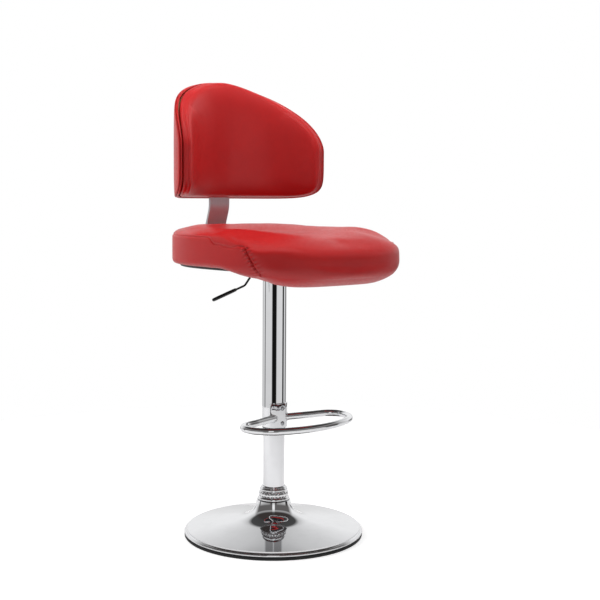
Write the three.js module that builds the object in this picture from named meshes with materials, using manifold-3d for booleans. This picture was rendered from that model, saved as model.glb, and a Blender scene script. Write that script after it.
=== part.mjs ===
// Adjustable swivel stool: trumpet base, telescopic column on a gas lift, padded seat,
// wrap-around backrest on a steel strap, and a ring footrest carried by the moving tube.
// Millimetres, +Z up, the stool faces -Y. The origin is on the floor on the column's axis.
// The stool is drawn at its lowest setting.

import * as THREE from 'three';
import { mergeVertices } from 'three/addons/utils/BufferGeometryUtils.js';
import Module from 'manifold-3d';

const wasm = await Module();
wasm.setup();

// ---------------------------------------------------------------- driving dimensions

const TOTAL_HEIGHT = 980;
const SEAT_WIDTH = 430;
const SEAT_FRONT = 240; // from the column's axis to the front of the seat
const STRAP_BACK = 230; // from the column's axis to the back of the strap's bend
const GAP = 0.3; // between pieces that touch
const ROUND = 32; // facets round the base and the column
const INNER_ROUND = 20; // facets round a piece inside the column
const SMALL_ROUND = 12; // facets round a screw
const PAD_FACETS = 36; // facets round a cushion and the boards that follow it

// Base
const BASE_RADIUS = 192.5;
const BASE_SHEET = 2.5;
const RUBBER_HEIGHT = 8;
const NECK_RADIUS = 34;
const NECK_TOP = 76;
const PLATE_RADIUS = 112;
const PLATE_BOTTOM = 16.2;
const PLATE_TOP = 21.2;
const FLANGE_RADIUS = 46;
const FLANGE_TOP = 28;
const BASE_BOLT_CIRCLE = 34;
const BASE_BOLTS = 4;
const COLLAR_PROFILE = [ // [radius, height] up the ridged outside
  [33.2, 76.4], [34.2, 79], [34, 83], [31.4, 86], [32.6, 89], [32, 93],
  [29.2, 95.5], [30.2, 98], [29.4, 102], [26.6, 105.4],
];
const COLLAR_TOP = 106;

// Column
const LOWER_RADIUS = 23;
const LOWER_WALL = 2;
const LOWER_TOP = 531;
const UPPER_RADIUS = 25.5;
const UPPER_WALL = 1.5;
const UPPER_BOTTOM = 236;
const UPPER_TOP = 550;
const CYLINDER_RADIUS = 14;
const CYLINDER_WALL = 1.7;
const CYLINDER_BOTTOM = 52;
const CYLINDER_TOP = 566;
const TAPER_BOTTOM = 534;
const TAPER_TOP_RADIUS = 13.4;
const ROD_RADIUS = 5;
const ROD_TOP = 500;
const PISTON_HEIGHT = 20;
const VALVE_RADIUS = 3.8;
const VALVE_TOP = 570.3;
const SHOULDER_HEIGHT = 9.2; // of the rod's shoulder above the foot flange
const SHOULDER_THICKNESS = 3.8;
const BALLS = 6;
const BALL_RADIUS = 1.95;
const BALL_CIRCLE = 12.8;
const RACE_RADIUS = 18;

// Footrest
const FOOTREST_HEIGHT = 257;
const FOOTREST_TUBE = 7.5; // radius
const SADDLE_WALL = 2.5;
const SADDLE_TOP = 289;
const SADDLE_HALF_ANGLE = THREE.MathUtils.degToRad(62);
const FOOTREST_SCREW_HEIGHTS = [246, 278];

// Seat
const SEAT_CENTRE = 25; // the seat's middle is this far in front of the column
const SEAT_FRONT_POWER = 3.2; // how square the front corners are; 2 is an ellipse
const SEAT_BACK_POWER = 2.5;
const SEAT_UNDERSIDE = 593.3; // where the cushion lies on its board
const RIM_UNDERSIDE = 589; // the cushion's rim hangs round the board's edge
const SEAT_RIDGE = 664;
const SEAT_BACK_RISE = 5;
const SEAT_DISH = 17;
const SEAT_FRONT_FALL = 16;
const RIM_FALL = 40; // how far the rim hangs lower at the front edge
const RIM_FALL_START = 75; // in front of the column
const RIM_FALL_LENGTH = 170;
const RIM_SHARE = 0.945; // the rim's inner wall, as a share of the seat's outline
const RIM_INNER_SHARE = 0.943; // the same wall's upper edge
const BOARD_THICKNESS = 9;
const BOARD_SHARE = 0.93; // the boards' outline as a share of the seat's or the backrest's
const COVER_THICKNESS = 1.2;

// Plate under the seat
const PLATE_HALF_X = 76;
const PLATE_HALF_Y = 73;
const PLATE_CORNER = 14;
const PLATE_SHEET = 2.5;
const BOX_HALF_X = 40;
const BOX_HALF_Y = 36;
const BOX_BOTTOM = 562;
const HUB_RADIUS = 20;
const HUB_BOTTOM = 551;
const HUB_TOP = 565.5;
const SEAT_BOLT_X = 64;
const SEAT_BOLT_Y = 61;
const BOLT_HEAD_RADIUS = 5.8;
const BOLT_HEAD_HEIGHT = 4.5;
const BOLT_RADIUS = 3;
const BOLT_TIP = SEAT_UNDERSIDE - 3; // inside the board

// Lever
const LEVER_RADIUS = 2.2;
const LEVER_HEIGHT = 573;
const LEVER_INNER_END = 6;
const PIVOT_X = -29.8;
const PIVOT_RADIUS = 2;
const BOSS_RADIUS = 4.4;
const GRIP_RADIUS = 3.6;
const GRIP_START = new THREE.Vector3(-105, 0, 536);
const GRIP_END = new THREE.Vector3(-165, 0, 517);

// Strap
const STRAP_WIDTH = 54;
const STRAP_THICKNESS = 6;
const STRAP_FRONT = 98; // where the strap starts under the seat, behind the column
const STRAP_UPRIGHT = 195.5; // the strap's middle inside the backrest, behind the column
const STRAP_KNEE = 703; // where the lean ends and the strap turns upright
const STRAP_TOP = 826;
const STRAP_BEND = 28;

// Backrest: drawn flat, u along the arc and v upwards, then wrapped round the column's axis
const BACK_HALF_ARC = 245; // along the arc from the middle to a wing tip
const BACK_WRAP_RADIUS = 195;
const BACK_BOTTOM = 724;
const BACK_SHOULDER = 830; // where the wing tips' upright edges end and the arch begins
const BACK_ARCH_POWER = 1.7;
const BACK_FOOT_POWER = 7;
const BACK_BOARD_INNER = 203.2;
const BACK_BOARD_THICKNESS = 5.2;
const BACK_PANEL_THICKNESS = 5.8;
const BACK_CUSHION_THICKNESS = 43;
const WING_CUSHION_THICKNESS = 27;
const BACK_SCREW_X = 15;
const BACK_SCREW_HEIGHTS = [760, 808];

// ---------------------------------------------------------------- materials

const finishes = {
  chrome: { color: 0xd9dadd, metalness: 1, roughness: 0.08 },
  steel: { color: 0xa9a5a6, metalness: 1, roughness: 0.32 },
  zinc: { color: 0x9a9da0, metalness: 1, roughness: 0.4 },
  blackSteel: { color: 0x1b1b1c, metalness: 0.4, roughness: 0.5 },
  rubber: { color: 0x121212, metalness: 0, roughness: 0.85 },
  blackPlastic: { color: 0x161617, metalness: 0, roughness: 0.5 },
  nylon: { color: 0xd8d4c8, metalness: 0, roughness: 0.55 },
  plywood: { color: 0xb58a58, metalness: 0, roughness: 0.7 },
  redLeather: { color: 0xb3201f, metalness: 0, roughness: 0.42 },
  blackFabric: { color: 0x17171a, metalness: 0, roughness: 0.95 },
};

const stool = new THREE.Group();

function add(name, geometry, finish) {
  const mesh = new THREE.Mesh(outward(geometry), new THREE.MeshStandardMaterial(finishes[finish]));
  mesh.name = name;
  stool.add(mesh);
}

// ---------------------------------------------------------------- shape helpers

// Positions only, with shared vertices merged.
function welded(geometry) {
  const bare = geometry.clone();
  bare.deleteAttribute('normal');
  bare.deleteAttribute('uv');
  return mergeVertices(bare, 1e-4);
}

function signedVolume(geometry) {
  const { position } = geometry.attributes;
  const index = geometry.index.array;
  const [a, b, c] = [0, 1, 2].map(() => new THREE.Vector3());
  let volume = 0;
  for (let i = 0; i < index.length; i += 3) {
    a.fromBufferAttribute(position, index[i]);
    b.fromBufferAttribute(position, index[i + 1]);
    c.fromBufferAttribute(position, index[i + 2]);
    volume += a.dot(b.cross(c)) / 6;
  }
  return volume;
}

// The same closed surface with its faces turned to point out.
function outward(geometry) {
  const closed = welded(geometry);
  if (signedVolume(closed) > 0) return closed;
  const index = closed.index.array;
  for (let i = 0; i < index.length; i += 3) {
    [index[i + 1], index[i + 2]] = [index[i + 2], index[i + 1]];
  }
  return closed;
}

function solid(geometry) {
  const closed = outward(geometry);
  return new wasm.Manifold(new wasm.Mesh({
    numProp: 3,
    vertProperties: closed.attributes.position.array,
    triVerts: new Uint32Array(closed.index.array),
  }));
}

function geometryOf(manifold) {
  const { vertProperties, triVerts } = manifold.getMesh();
  const geometry = new THREE.BufferGeometry();
  geometry.setAttribute('position', new THREE.BufferAttribute(vertProperties, 3));
  geometry.setIndex(new THREE.BufferAttribute(triVerts, 1));
  return geometry;
}

function cut(geometry, ...cutters) {
  return geometryOf(cutters.reduce((left, tool) => left.subtract(solid(tool)), solid(geometry)));
}

function join(...geometries) {
  return geometryOf(geometries.map(solid).reduce((left, right) => left.add(right)));
}

// Turns a profile of [radius, height] points about the Z axis.
function revolve(profile, facets = ROUND) {
  const points = profile.map(([radius, height]) => new THREE.Vector2(radius, height));
  return new THREE.LatheGeometry(points, facets).rotateX(Math.PI / 2);
}

// A ring's profile, closed on itself: the given corners, and the first of them again.
function revolveRing(corners, facets = ROUND) {
  return revolve([...corners, corners[0]], facets);
}

function ring(inner, outer, bottom, top, facets = ROUND) {
  return revolveRing([[inner, bottom], [outer, bottom], [outer, top], [inner, top]], facets);
}

function rod(radius, bottom, top, facets = SMALL_ROUND) {
  return revolve([[0, bottom], [radius, bottom], [radius, top], [0, top]], facets);
}

function block(fromX, toX, fromY, toY, fromZ, toZ) {
  return new THREE.BoxGeometry(toX - fromX, toY - fromY, toZ - fromZ)
    .translate((fromX + toX) / 2, (fromY + toY) / 2, (fromZ + toZ) / 2);
}

// A 2D centre line given a thickness: the outline that runs up one side and down the other.
function thickened(line, thickness, side = 0) {
  const offset = (point, index, distance) => {
    const before = line[Math.max(index - 1, 0)];
    const after = line[Math.min(index + 1, line.length - 1)];
    const along = new THREE.Vector2().subVectors(after, before).normalize();
    return new THREE.Vector2(point.x - along.y * distance, point.y + along.x * distance);
  };
  const leftSide = line.map((point, i) => offset(point, i, thickness * (0.5 + side / 2)));
  const rightSide = line.map((point, i) => offset(point, i, thickness * (side / 2 - 0.5)));
  return [...leftSide, ...rightSide.reverse()];
}

// A path of straight runs joined by rounded corners of the given setback.
function bentPath(points, setback) {
  const path = new THREE.CurvePath();
  let from = points[0];
  for (let i = 1; i < points.length - 1; i += 1) {
    const corner = points[i];
    const enter = corner.clone().lerp(points[i - 1], setback / corner.distanceTo(points[i - 1]));
    const leave = corner.clone().lerp(points[i + 1], setback / corner.distanceTo(points[i + 1]));
    path.add(new THREE.LineCurve3(from, enter));
    path.add(new THREE.QuadraticBezierCurve3(enter, corner, leave));
    from = leave;
  }
  path.add(new THREE.LineCurve3(from, points[points.length - 1]));
  return path;
}

function tubeAlong(path, radius, steps, sides) {
  const section = new THREE.Shape().absarc(0, 0, radius, 0, 2 * Math.PI);
  return new THREE.ExtrudeGeometry(section, {
    extrudePath: path,
    steps,
    curveSegments: sides,
    bevelEnabled: false,
  });
}

function roundedRectangle(halfX, halfY, corner) {
  const shape = new THREE.Shape();
  shape.absarc(halfX - corner, halfY - corner, corner, 0, Math.PI / 2);
  shape.absarc(corner - halfX, halfY - corner, corner, Math.PI / 2, Math.PI);
  shape.absarc(corner - halfX, corner - halfY, corner, Math.PI, 1.5 * Math.PI);
  shape.absarc(halfX - corner, corner - halfY, corner, 1.5 * Math.PI, 2 * Math.PI);
  return shape;
}

function slab(shape, bottom, top, curveSegments = 5) {
  return new THREE.ExtrudeGeometry(shape, { depth: top - bottom, bevelEnabled: false, curveSegments })
    .translate(0, 0, bottom);
}

// A hexagon bolt that stands up from its head's underside at headBottom.
function hexBolt(x, y, headBottom, headHeight, headRadius, shankRadius, tip) {
  const head = rod(headRadius, headBottom, headBottom + headHeight, 6);
  const shank = rod(shankRadius, headBottom + headHeight / 2, tip);
  return join(head, shank).translate(x, y, 0);
}

// A rod lying along Y, through x and z.
function crossRod(radius, fromY, toY, x, z) {
  return rod(radius, fromY, toY).rotateX(-Math.PI / 2).translate(x, 0, z);
}

// ---------------------------------------------------------------- padded outlines

const smooth = (value) => THREE.MathUtils.smoothstep(value, 0, 1);

// Distance from the middle to the outline, in a direction given by its cosine and sine.
function lobeRadius(cosine, sine, halfWidth, upper, lower) {
  const { reach, power } = sine >= 0 ? upper : lower;
  const sum = (Math.abs(cosine) / halfWidth) ** power + (Math.abs(sine) / reach) ** power;
  return sum ** (-1 / power);
}

const SHARES = [0, 0.25, 0.5, 0.75, 1];

// Sections are [share of the outline, share of the thickness], from the middle of one
// face, round the rim, to the middle of the other face. Two pieces that lie on each other
// run along their touching faces the same way, one of them reversed, so their facets agree.
function sheetSection(share) {
  const face = SHARES.map((s) => s * share);
  return [...face.map((s) => [s, 0]), ...face.reverse().map((s) => [s, 1])];
}

function padSection(share, rim = []) {
  return [
    ...SHARES.map((s) => [s * share, 0]), ...rim,
    [0.98, 0.06], [1, 0.25], [1, 0.62], [0.985, 0.84], [0.94, 0.97], [0.88, 1],
    [0.67, 1], [0.44, 1], [0.22, 1], [0, 1],
  ];
}

// A round section of unit size, with every vertex moved to its place by the given function.
function shaped(section, facets, place) {
  const geometry = revolve(section, facets);
  const { position } = geometry.attributes;
  for (let i = 0; i < position.count; i += 1) {
    const share = Math.hypot(position.getX(i), position.getY(i));
    const cosine = share > 0 ? position.getX(i) / share : 1;
    const sine = share > 0 ? position.getY(i) / share : 0;
    position.setXYZ(i, ...place(share, cosine, sine, position.getZ(i)));
  }
  return geometry;
}

// ---------------------------------------------------------------- base

function baseDish() {
  const lip = RUBBER_HEIGHT + GAP;
  const flare = new THREE.CubicBezierCurve(
    new THREE.Vector2(82, 31),
    new THREE.Vector2(54, 35.5),
    new THREE.Vector2(38, 48),
    new THREE.Vector2(NECK_RADIUS, NECK_TOP),
  );
  const rim = new THREE.QuadraticBezierCurve(
    new THREE.Vector2(BASE_RADIUS, lip + 1.8),
    new THREE.Vector2(BASE_RADIUS, lip + 4.9),
    new THREE.Vector2(186, lip + 5.9),
  );
  const outside = [
    new THREE.Vector2(BASE_RADIUS, lip),
    ...rim.getPoints(2),
    new THREE.Vector2(134, 22.8),
    ...flare.getPoints(6),
  ];
  const profile = thickened(outside, BASE_SHEET, 1);
  add('base_dish', revolveRing(profile.map((point) => [point.x, point.y])), 'chrome');
}

function baseRing() {
  const inner = BASE_RADIUS - 9;
  const corners = [
    [inner, 0], [BASE_RADIUS - 1.5, 0], [BASE_RADIUS - 0.3, 1.5],
    [BASE_RADIUS - 0.3, RUBBER_HEIGHT], [inner, RUBBER_HEIGHT],
  ];
  add('base_rubber_ring', revolveRing(corners), 'rubber');
}

function boltPlace(index) {
  const angle = (index + 0.5) * (2 * Math.PI / BASE_BOLTS);
  return [BASE_BOLT_CIRCLE * Math.cos(angle), BASE_BOLT_CIRCLE * Math.sin(angle)];
}

function baseFixings() {
  const holes = [...Array(BASE_BOLTS).keys()].map((i) => {
    const [x, y] = boltPlace(i);
    return rod(4.4, PLATE_BOTTOM - 1, FLANGE_TOP + 1).translate(x, y, 0);
  });
  const plate = ring(16, PLATE_RADIUS, PLATE_BOTTOM, PLATE_TOP, INNER_ROUND);
  add('base_plate', cut(plate, ...holes), 'zinc');
  const flange = ring(6, FLANGE_RADIUS, PLATE_TOP + GAP, FLANGE_TOP, INNER_ROUND);
  add('column_foot_flange', cut(flange, ...holes), 'zinc');
  for (let i = 0; i < BASE_BOLTS; i += 1) {
    const [x, y] = boltPlace(i);
    const bolt = hexBolt(x, y, PLATE_BOTTOM - GAP - 5.5, 5.5, 7.5, 4, FLANGE_TOP - 0.5);
    add(`base_bolt_${i + 1}`, bolt, 'zinc');
  }
}

function baseCollar() {
  const bore = LOWER_RADIUS + 0.4;
  const [, bottom] = COLLAR_PROFILE[0];
  const corners = [[bore, bottom], ...COLLAR_PROFILE, [bore, COLLAR_TOP]];
  add('base_collar', revolveRing(corners), 'chrome');
}

// ---------------------------------------------------------------- column

function columnTubes() {
  const lower = ring(LOWER_RADIUS - LOWER_WALL, LOWER_RADIUS, FLANGE_TOP + GAP, LOWER_TOP);
  add('lower_column_tube', lower, 'chrome');
  const upper = ring(UPPER_RADIUS - UPPER_WALL, UPPER_RADIUS, UPPER_BOTTOM, UPPER_TOP);
  add('upper_column_tube', cut(upper, ...footrestScrewHoles()), 'chrome');
}

function columnBushes() {
  const bore = CYLINDER_RADIUS + GAP;
  const neck = LOWER_RADIUS - LOWER_WALL - GAP;
  const slide = UPPER_RADIUS - UPPER_WALL - 0.3;
  const top = [
    [bore, LOWER_TOP - 26], [neck, LOWER_TOP - 26], [neck, LOWER_TOP + GAP],
    [slide, LOWER_TOP + GAP], [slide, LOWER_TOP + 4], [bore, LOWER_TOP + 4],
  ];
  add('top_guide_bush', revolveRing(top), 'nylon');
  const inner = LOWER_RADIUS + 0.25;
  const mouth = [
    [inner, UPPER_BOTTOM - 2.5], [UPPER_RADIUS - 0.2, UPPER_BOTTOM - 2.5],
    [UPPER_RADIUS - 0.2, UPPER_BOTTOM - GAP], [slide, UPPER_BOTTOM - GAP],
    [slide, UPPER_BOTTOM + 26], [inner, UPPER_BOTTOM + 26],
  ];
  add('mouth_guide_bush', revolveRing(mouth), 'blackPlastic');
  add('tube_cap', ring(CYLINDER_RADIUS + 0.25, slide, UPPER_TOP - 4, UPPER_TOP), 'zinc');
}

// ---------------------------------------------------------------- gas lift

function gasSpring() {
  const inner = CYLINDER_RADIUS - CYLINDER_WALL;
  const valveBore = VALVE_RADIUS + GAP;
  const corners = [
    [inner, CYLINDER_BOTTOM], [CYLINDER_RADIUS, CYLINDER_BOTTOM], [CYLINDER_RADIUS, TAPER_BOTTOM],
    [TAPER_TOP_RADIUS, CYLINDER_TOP], [valveBore, CYLINDER_TOP], [valveBore, CYLINDER_TOP - 17],
    [inner, CYLINDER_TOP - 22],
  ];
  add('gas_cylinder', revolveRing(corners), 'blackSteel');
  const glandBottom = CYLINDER_BOTTOM + 1;
  const gland = ring(ROD_RADIUS + 0.2, inner - GAP, glandBottom, glandBottom + 16, INNER_ROUND);
  add('cylinder_gland', gland, 'zinc');
  const pistonBottom = ROD_TOP - PISTON_HEIGHT;
  const pistonBore = ROD_RADIUS - 1 + GAP;
  const piston = ring(pistonBore, inner - GAP, pistonBottom, ROD_TOP - 3, INNER_ROUND);
  add('gas_piston', piston, 'zinc');
  add('release_pin', rod(VALVE_RADIUS, CYLINDER_TOP - 14, VALVE_TOP), 'steel');
}

function gasRod() {
  const shoulder = FLANGE_TOP + SHOULDER_HEIGHT;
  const shoulderTop = shoulder + SHOULDER_THICKNESS;
  const groove = PLATE_TOP - 3.6;
  const pistonSeat = ROD_TOP - PISTON_HEIGHT - GAP;
  const neck = ROD_RADIUS - 1;
  const profile = [
    [0, groove - 3], [ROD_RADIUS, groove - 3], [ROD_RADIUS, groove], [neck, groove],
    [neck, groove + 1.7], [ROD_RADIUS, groove + 1.7], [ROD_RADIUS, shoulder],
    [9, shoulder], [9, shoulderTop], [ROD_RADIUS, shoulderTop],
    [ROD_RADIUS, pistonSeat], [neck, pistonSeat], [neck, ROD_TOP], [0, ROD_TOP],
  ];
  add('gas_rod', revolve(profile, SMALL_ROUND), 'chrome');
  const bore = ROD_RADIUS + GAP;
  const stop = ring(bore, 12, shoulderTop + GAP, CYLINDER_BOTTOM - GAP, INNER_ROUND);
  add('bump_stop', stop, 'rubber');
  add('rod_washer', ring(bore, 13, PLATE_TOP - 1.6, PLATE_TOP, INNER_ROUND), 'zinc');
  add('rod_clip', ring(neck + 0.2, 8, groove + 0.2, groove + 1.5, SMALL_ROUND), 'blackSteel');
}

function thrustBearing() {
  const bottom = FLANGE_TOP + GAP;
  const fixedRace = ring(6.5, RACE_RADIUS, bottom, bottom + 2, INNER_ROUND);
  add('bearing_race_fixed', fixedRace, 'steel');
  const cage = ring(8.5, 17, bottom + 3.5, bottom + 5.1, INNER_ROUND);
  const balls = [...Array(BALLS).keys()].map((i) => {
    const angle = i * 2 * Math.PI / BALLS;
    return new THREE.SphereGeometry(BALL_RADIUS, 6, 4)
      .translate(BALL_CIRCLE * Math.cos(angle), BALL_CIRCLE * Math.sin(angle), bottom + 4.3);
  });
  add('bearing_ball_cage', join(cage, ...balls), 'steel');
  const turningRace = ring(ROD_RADIUS + GAP, RACE_RADIUS, bottom + 6.6, bottom + 8.6, INNER_ROUND);
  add('bearing_race_turning', turningRace, 'steel');
}

// ---------------------------------------------------------------- footrest

function footrestScrewHoles() {
  return FOOTREST_SCREW_HEIGHTS.map((z) => crossRod(2.8, -UPPER_RADIUS - 5, -UPPER_RADIUS + 3, 0, z));
}

function footrestSaddle() {
  const inner = UPPER_RADIUS + GAP;
  const front = -Math.PI / 2;
  const shape = new THREE.Shape();
  shape.absarc(0, 0, inner + SADDLE_WALL, front - SADDLE_HALF_ANGLE, front + SADDLE_HALF_ANGLE, false);
  shape.absarc(0, 0, inner, front + SADDLE_HALF_ANGLE, front - SADDLE_HALF_ANGLE, true);
  const saddle = slab(shape, UPPER_BOTTOM, SADDLE_TOP, 20);
  add('footrest_saddle', cut(saddle, ...footrestScrewHoles()), 'chrome');
  FOOTREST_SCREW_HEIGHTS.forEach((z, i) => {
    const face = inner + SADDLE_WALL + GAP;
    const head = crossRod(4.6, -face - 2.2, -face, 0, z);
    const shank = crossRod(2.5, -face - 1, -UPPER_RADIUS + 1.3, 0, z);
    add(`footrest_screw_${i + 1}`, join(head, shank), 'zinc');
  });
}

// The ring leaves one side of the saddle, runs round in front, and comes back to the other side.
function footrestLoop() {
  const half = [[17, 19], [75, 33], [113, 42], [131, 62], [130, 91], [107, 122], [60, 143]];
  const mirrored = half.map(([x, forward]) => [-x, forward]).reverse();
  const points = [...half, [0, 151], ...mirrored]
    .map(([x, forward]) => new THREE.Vector3(x, -forward, FOOTREST_HEIGHT));
  const loop = tubeAlong(new THREE.CatmullRomCurve3(points), FOOTREST_TUBE, 50, 5);
  const saddleRadius = UPPER_RADIUS + GAP + SADDLE_WALL;
  const column = rod(saddleRadius + GAP, UPPER_BOTTOM, SADDLE_TOP, ROUND);
  add('footrest_loop', cut(loop, column), 'chrome');
}

// ---------------------------------------------------------------- plate under the seat

const PLATE_UNDERSIDE = SEAT_UNDERSIDE - BOARD_THICKNESS - COVER_THICKNESS - 3 * GAP - PLATE_SHEET;
const PLATE_FACE = PLATE_UNDERSIDE + PLATE_SHEET;

function seatBoltPlaces() {
  return [[1, 1], [-1, 1], [-1, -1], [1, -1]].map(([x, y]) => [x * SEAT_BOLT_X, y * SEAT_BOLT_Y]);
}

function strapBoltPlaces() {
  return [[14, 118], [-14, 118], [0, 160]];
}

// A bolt up into the board, its head under the given face.
function underBolt(x, y, face) {
  const headBottom = face - GAP - BOLT_HEAD_HEIGHT;
  return hexBolt(x, y, headBottom, BOLT_HEAD_HEIGHT, BOLT_HEAD_RADIUS, BOLT_RADIUS, BOLT_TIP);
}

function boltHoles(places) {
  return places.map(([x, y]) => rod(3.3, BOX_BOTTOM, SEAT_UNDERSIDE + 4).translate(x, y, 0));
}

function mountPlate() {
  const outline = roundedRectangle(PLATE_HALF_X, PLATE_HALF_Y, PLATE_CORNER);
  const box = roundedRectangle(BOX_HALF_X, BOX_HALF_Y, 7);
  const hollow = roundedRectangle(BOX_HALF_X - PLATE_SHEET, BOX_HALF_Y - PLATE_SHEET, 5);
  const pressed = join(slab(outline, PLATE_UNDERSIDE, PLATE_FACE), slab(box, BOX_BOTTOM, PLATE_FACE));
  const plate = cut(
    pressed,
    slab(hollow, BOX_BOTTOM + PLATE_SHEET, PLATE_FACE + 5),
    rod(HUB_RADIUS + GAP, BOX_BOTTOM - 1, BOX_BOTTOM + 5, ROUND),
    block(-BOX_HALF_X - 2, -BOX_HALF_X + 6, -7, 7, LEVER_HEIGHT - 5, PLATE_UNDERSIDE - 1),
    ...boltHoles(seatBoltPlaces()),
  );
  add('seat_mount_plate', plate, 'blackSteel');
  seatBoltPlaces().forEach(([x, y], i) => {
    add(`seat_bolt_${i + 1}`, underBolt(x, y, PLATE_UNDERSIDE), 'zinc');
  });
}

// The hub takes the cylinder's taper.
function mountHub() {
  const slope = (CYLINDER_RADIUS - TAPER_TOP_RADIUS) / (CYLINDER_TOP - TAPER_BOTTOM);
  const bore = (height) => CYLINDER_RADIUS - (height - TAPER_BOTTOM) * slope + GAP;
  const corners = [
    [bore(HUB_BOTTOM), HUB_BOTTOM], [HUB_RADIUS, HUB_BOTTOM], [HUB_RADIUS, HUB_TOP],
    [bore(HUB_TOP), HUB_TOP],
  ];
  add('taper_hub', revolveRing(corners), 'blackSteel');
}

// ---------------------------------------------------------------- lever

function leverBracket() {
  const floor = BOX_BOTTOM + PLATE_SHEET + GAP;
  const base = block(PIVOT_X - 7.2, PIVOT_X + 7.2, -12, 12, floor, floor + 2.5);
  const ears = [-1, 1].map((side) => {
    const [near, far] = [9, 11.5].map((y) => y * side).sort((a, b) => a - b);
    return block(PIVOT_X - 5.5, PIVOT_X + 5.5, near, far, floor + 1, LEVER_HEIGHT + 5);
  });
  const hole = crossRod(PIVOT_RADIUS + 0.25, -15, 15, PIVOT_X, LEVER_HEIGHT);
  add('lever_bracket', cut(join(base, ...ears), hole), 'blackSteel');
  const pin = crossRod(PIVOT_RADIUS, -13, 14.5, PIVOT_X, LEVER_HEIGHT);
  const head = crossRod(3.6, -14, -11.8, PIVOT_X, LEVER_HEIGHT);
  add('lever_pivot_pin', join(pin, head), 'zinc');
  const clip = ring(PIVOT_RADIUS + 0.15, 4, 12, 13.2, SMALL_ROUND).rotateX(-Math.PI / 2);
  add('lever_pivot_clip', clip.translate(PIVOT_X, 0, LEVER_HEIGHT), 'zinc');
}

function lever() {
  const points = [
    new THREE.Vector3(LEVER_INNER_END, 0, LEVER_HEIGHT),
    new THREE.Vector3(-56, 0, LEVER_HEIGHT),
    new THREE.Vector3(-81, 0, 543.5),
    GRIP_END.clone().lerp(GRIP_START, 0.06),
  ];
  const bar = tubeAlong(bentPath(points, 10), LEVER_RADIUS, 30, 4);
  const boss = crossRod(BOSS_RADIUS, -8, 8, PIVOT_X, LEVER_HEIGHT);
  const bore = crossRod(PIVOT_RADIUS + 0.25, -10, 10, PIVOT_X, LEVER_HEIGHT);
  add('lever_rod', cut(join(bar, boss), bore), 'blackSteel');
}

function leverGrip() {
  const along = new THREE.Vector3().subVectors(GRIP_END, GRIP_START);
  const length = along.length();
  const bore = LEVER_RADIUS + GAP;
  const profile = [
    [0, length - 3], [bore, length - 3], [bore, 0], [GRIP_RADIUS - 0.5, 0], [GRIP_RADIUS, 4],
    [GRIP_RADIUS, length - 3], [GRIP_RADIUS - 0.8, length], [0, length],
  ];
  const grip = revolve(profile, 16);
  const turn = new THREE.Quaternion().setFromUnitVectors(new THREE.Vector3(0, 0, 1), along.normalize());
  add('lever_grip', grip.applyQuaternion(turn).translate(...GRIP_START), 'blackPlastic');
}

// ---------------------------------------------------------------- seat

// The cushion's underside: flat on the board, and lower round the board's edge.
function seatBottom(x, forward, share) {
  if (share < (RIM_SHARE + RIM_INNER_SHARE) / 2) return SEAT_UNDERSIDE;
  return RIM_UNDERSIDE - RIM_FALL * smooth((forward - RIM_FALL_START) / RIM_FALL_LENGTH);
}

function seatTop(x, forward) {
  const dish = SEAT_DISH * Math.exp(-((x / 120) ** 2) - ((forward - 25) / 120) ** 2);
  const rise = SEAT_BACK_RISE * smooth((-forward - 40) / 130);
  const fall = SEAT_FRONT_FALL * smooth((forward - 60) / 170);
  return SEAT_RIDGE + rise - dish - fall;
}

// Places a point of the seat's plan between two heights given by functions.
function seatPlacer(bottom, top) {
  const reach = SEAT_FRONT - SEAT_CENTRE;
  const front = { reach, power: SEAT_FRONT_POWER };
  const back = { reach, power: SEAT_BACK_POWER };
  return (share, cosine, sine, level) => {
    const radius = share * lobeRadius(cosine, sine, SEAT_WIDTH / 2, front, back);
    const x = radius * cosine;
    const forward = SEAT_CENTRE + radius * sine;
    const low = bottom(x, forward, share);
    return [x, -forward, low + level * (top(x, forward) - low)];
  };
}

const constant = (value) => () => value;

function seat() {
  const boardTop = SEAT_UNDERSIDE - GAP;
  const boardBottom = boardTop - BOARD_THICKNESS;
  const coverTop = boardBottom - GAP;
  const coverBottom = coverTop - COVER_THICKNESS;
  const holes = [...boltHoles(seatBoltPlaces()), ...boltHoles(strapBoltPlaces())];
  const sheet = sheetSection(BOARD_SHARE);
  const rim = [[RIM_INNER_SHARE, 0], [RIM_SHARE, 0]];
  const cushion = shaped(padSection(BOARD_SHARE, rim), PAD_FACETS, seatPlacer(seatBottom, seatTop));
  add('seat_cushion', cushion, 'redLeather');
  const boardPlacer = seatPlacer(constant(boardBottom), constant(boardTop));
  add('seat_board', cut(shaped(sheet, PAD_FACETS, boardPlacer), ...holes), 'plywood');
  const coverPlacer = seatPlacer(constant(coverBottom), constant(coverTop));
  add('dust_cover', cut(shaped(sheet, PAD_FACETS, coverPlacer), ...holes), 'blackFabric');
}

// ---------------------------------------------------------------- strap

// The strap's centre line seen from the side, as points of distance behind the axis and height.
function strapLine() {
  const level = PLATE_FACE - STRAP_THICKNESS / 2;
  const corner = STRAP_BACK + 7.4;
  const lean = Math.atan2(corner - STRAP_UPRIGHT, STRAP_KNEE - level);
  const setback = STRAP_BEND * Math.tan((Math.PI / 2 + lean) / 2);
  const bendStart = corner - setback;
  const bend = new THREE.Path().absarc(bendStart, level + STRAP_BEND, STRAP_BEND, -Math.PI / 2, lean);
  const knee = new THREE.QuadraticBezierCurve(
    new THREE.Vector2(STRAP_UPRIGHT + 12 * Math.tan(lean), STRAP_KNEE - 12),
    new THREE.Vector2(STRAP_UPRIGHT, STRAP_KNEE),
    new THREE.Vector2(STRAP_UPRIGHT, STRAP_KNEE + 12),
  );
  return [
    new THREE.Vector2(STRAP_FRONT, level),
    ...bend.getPoints(14),
    ...knee.getPoints(6),
    new THREE.Vector2(STRAP_UPRIGHT, STRAP_TOP),
  ];
}

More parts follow.
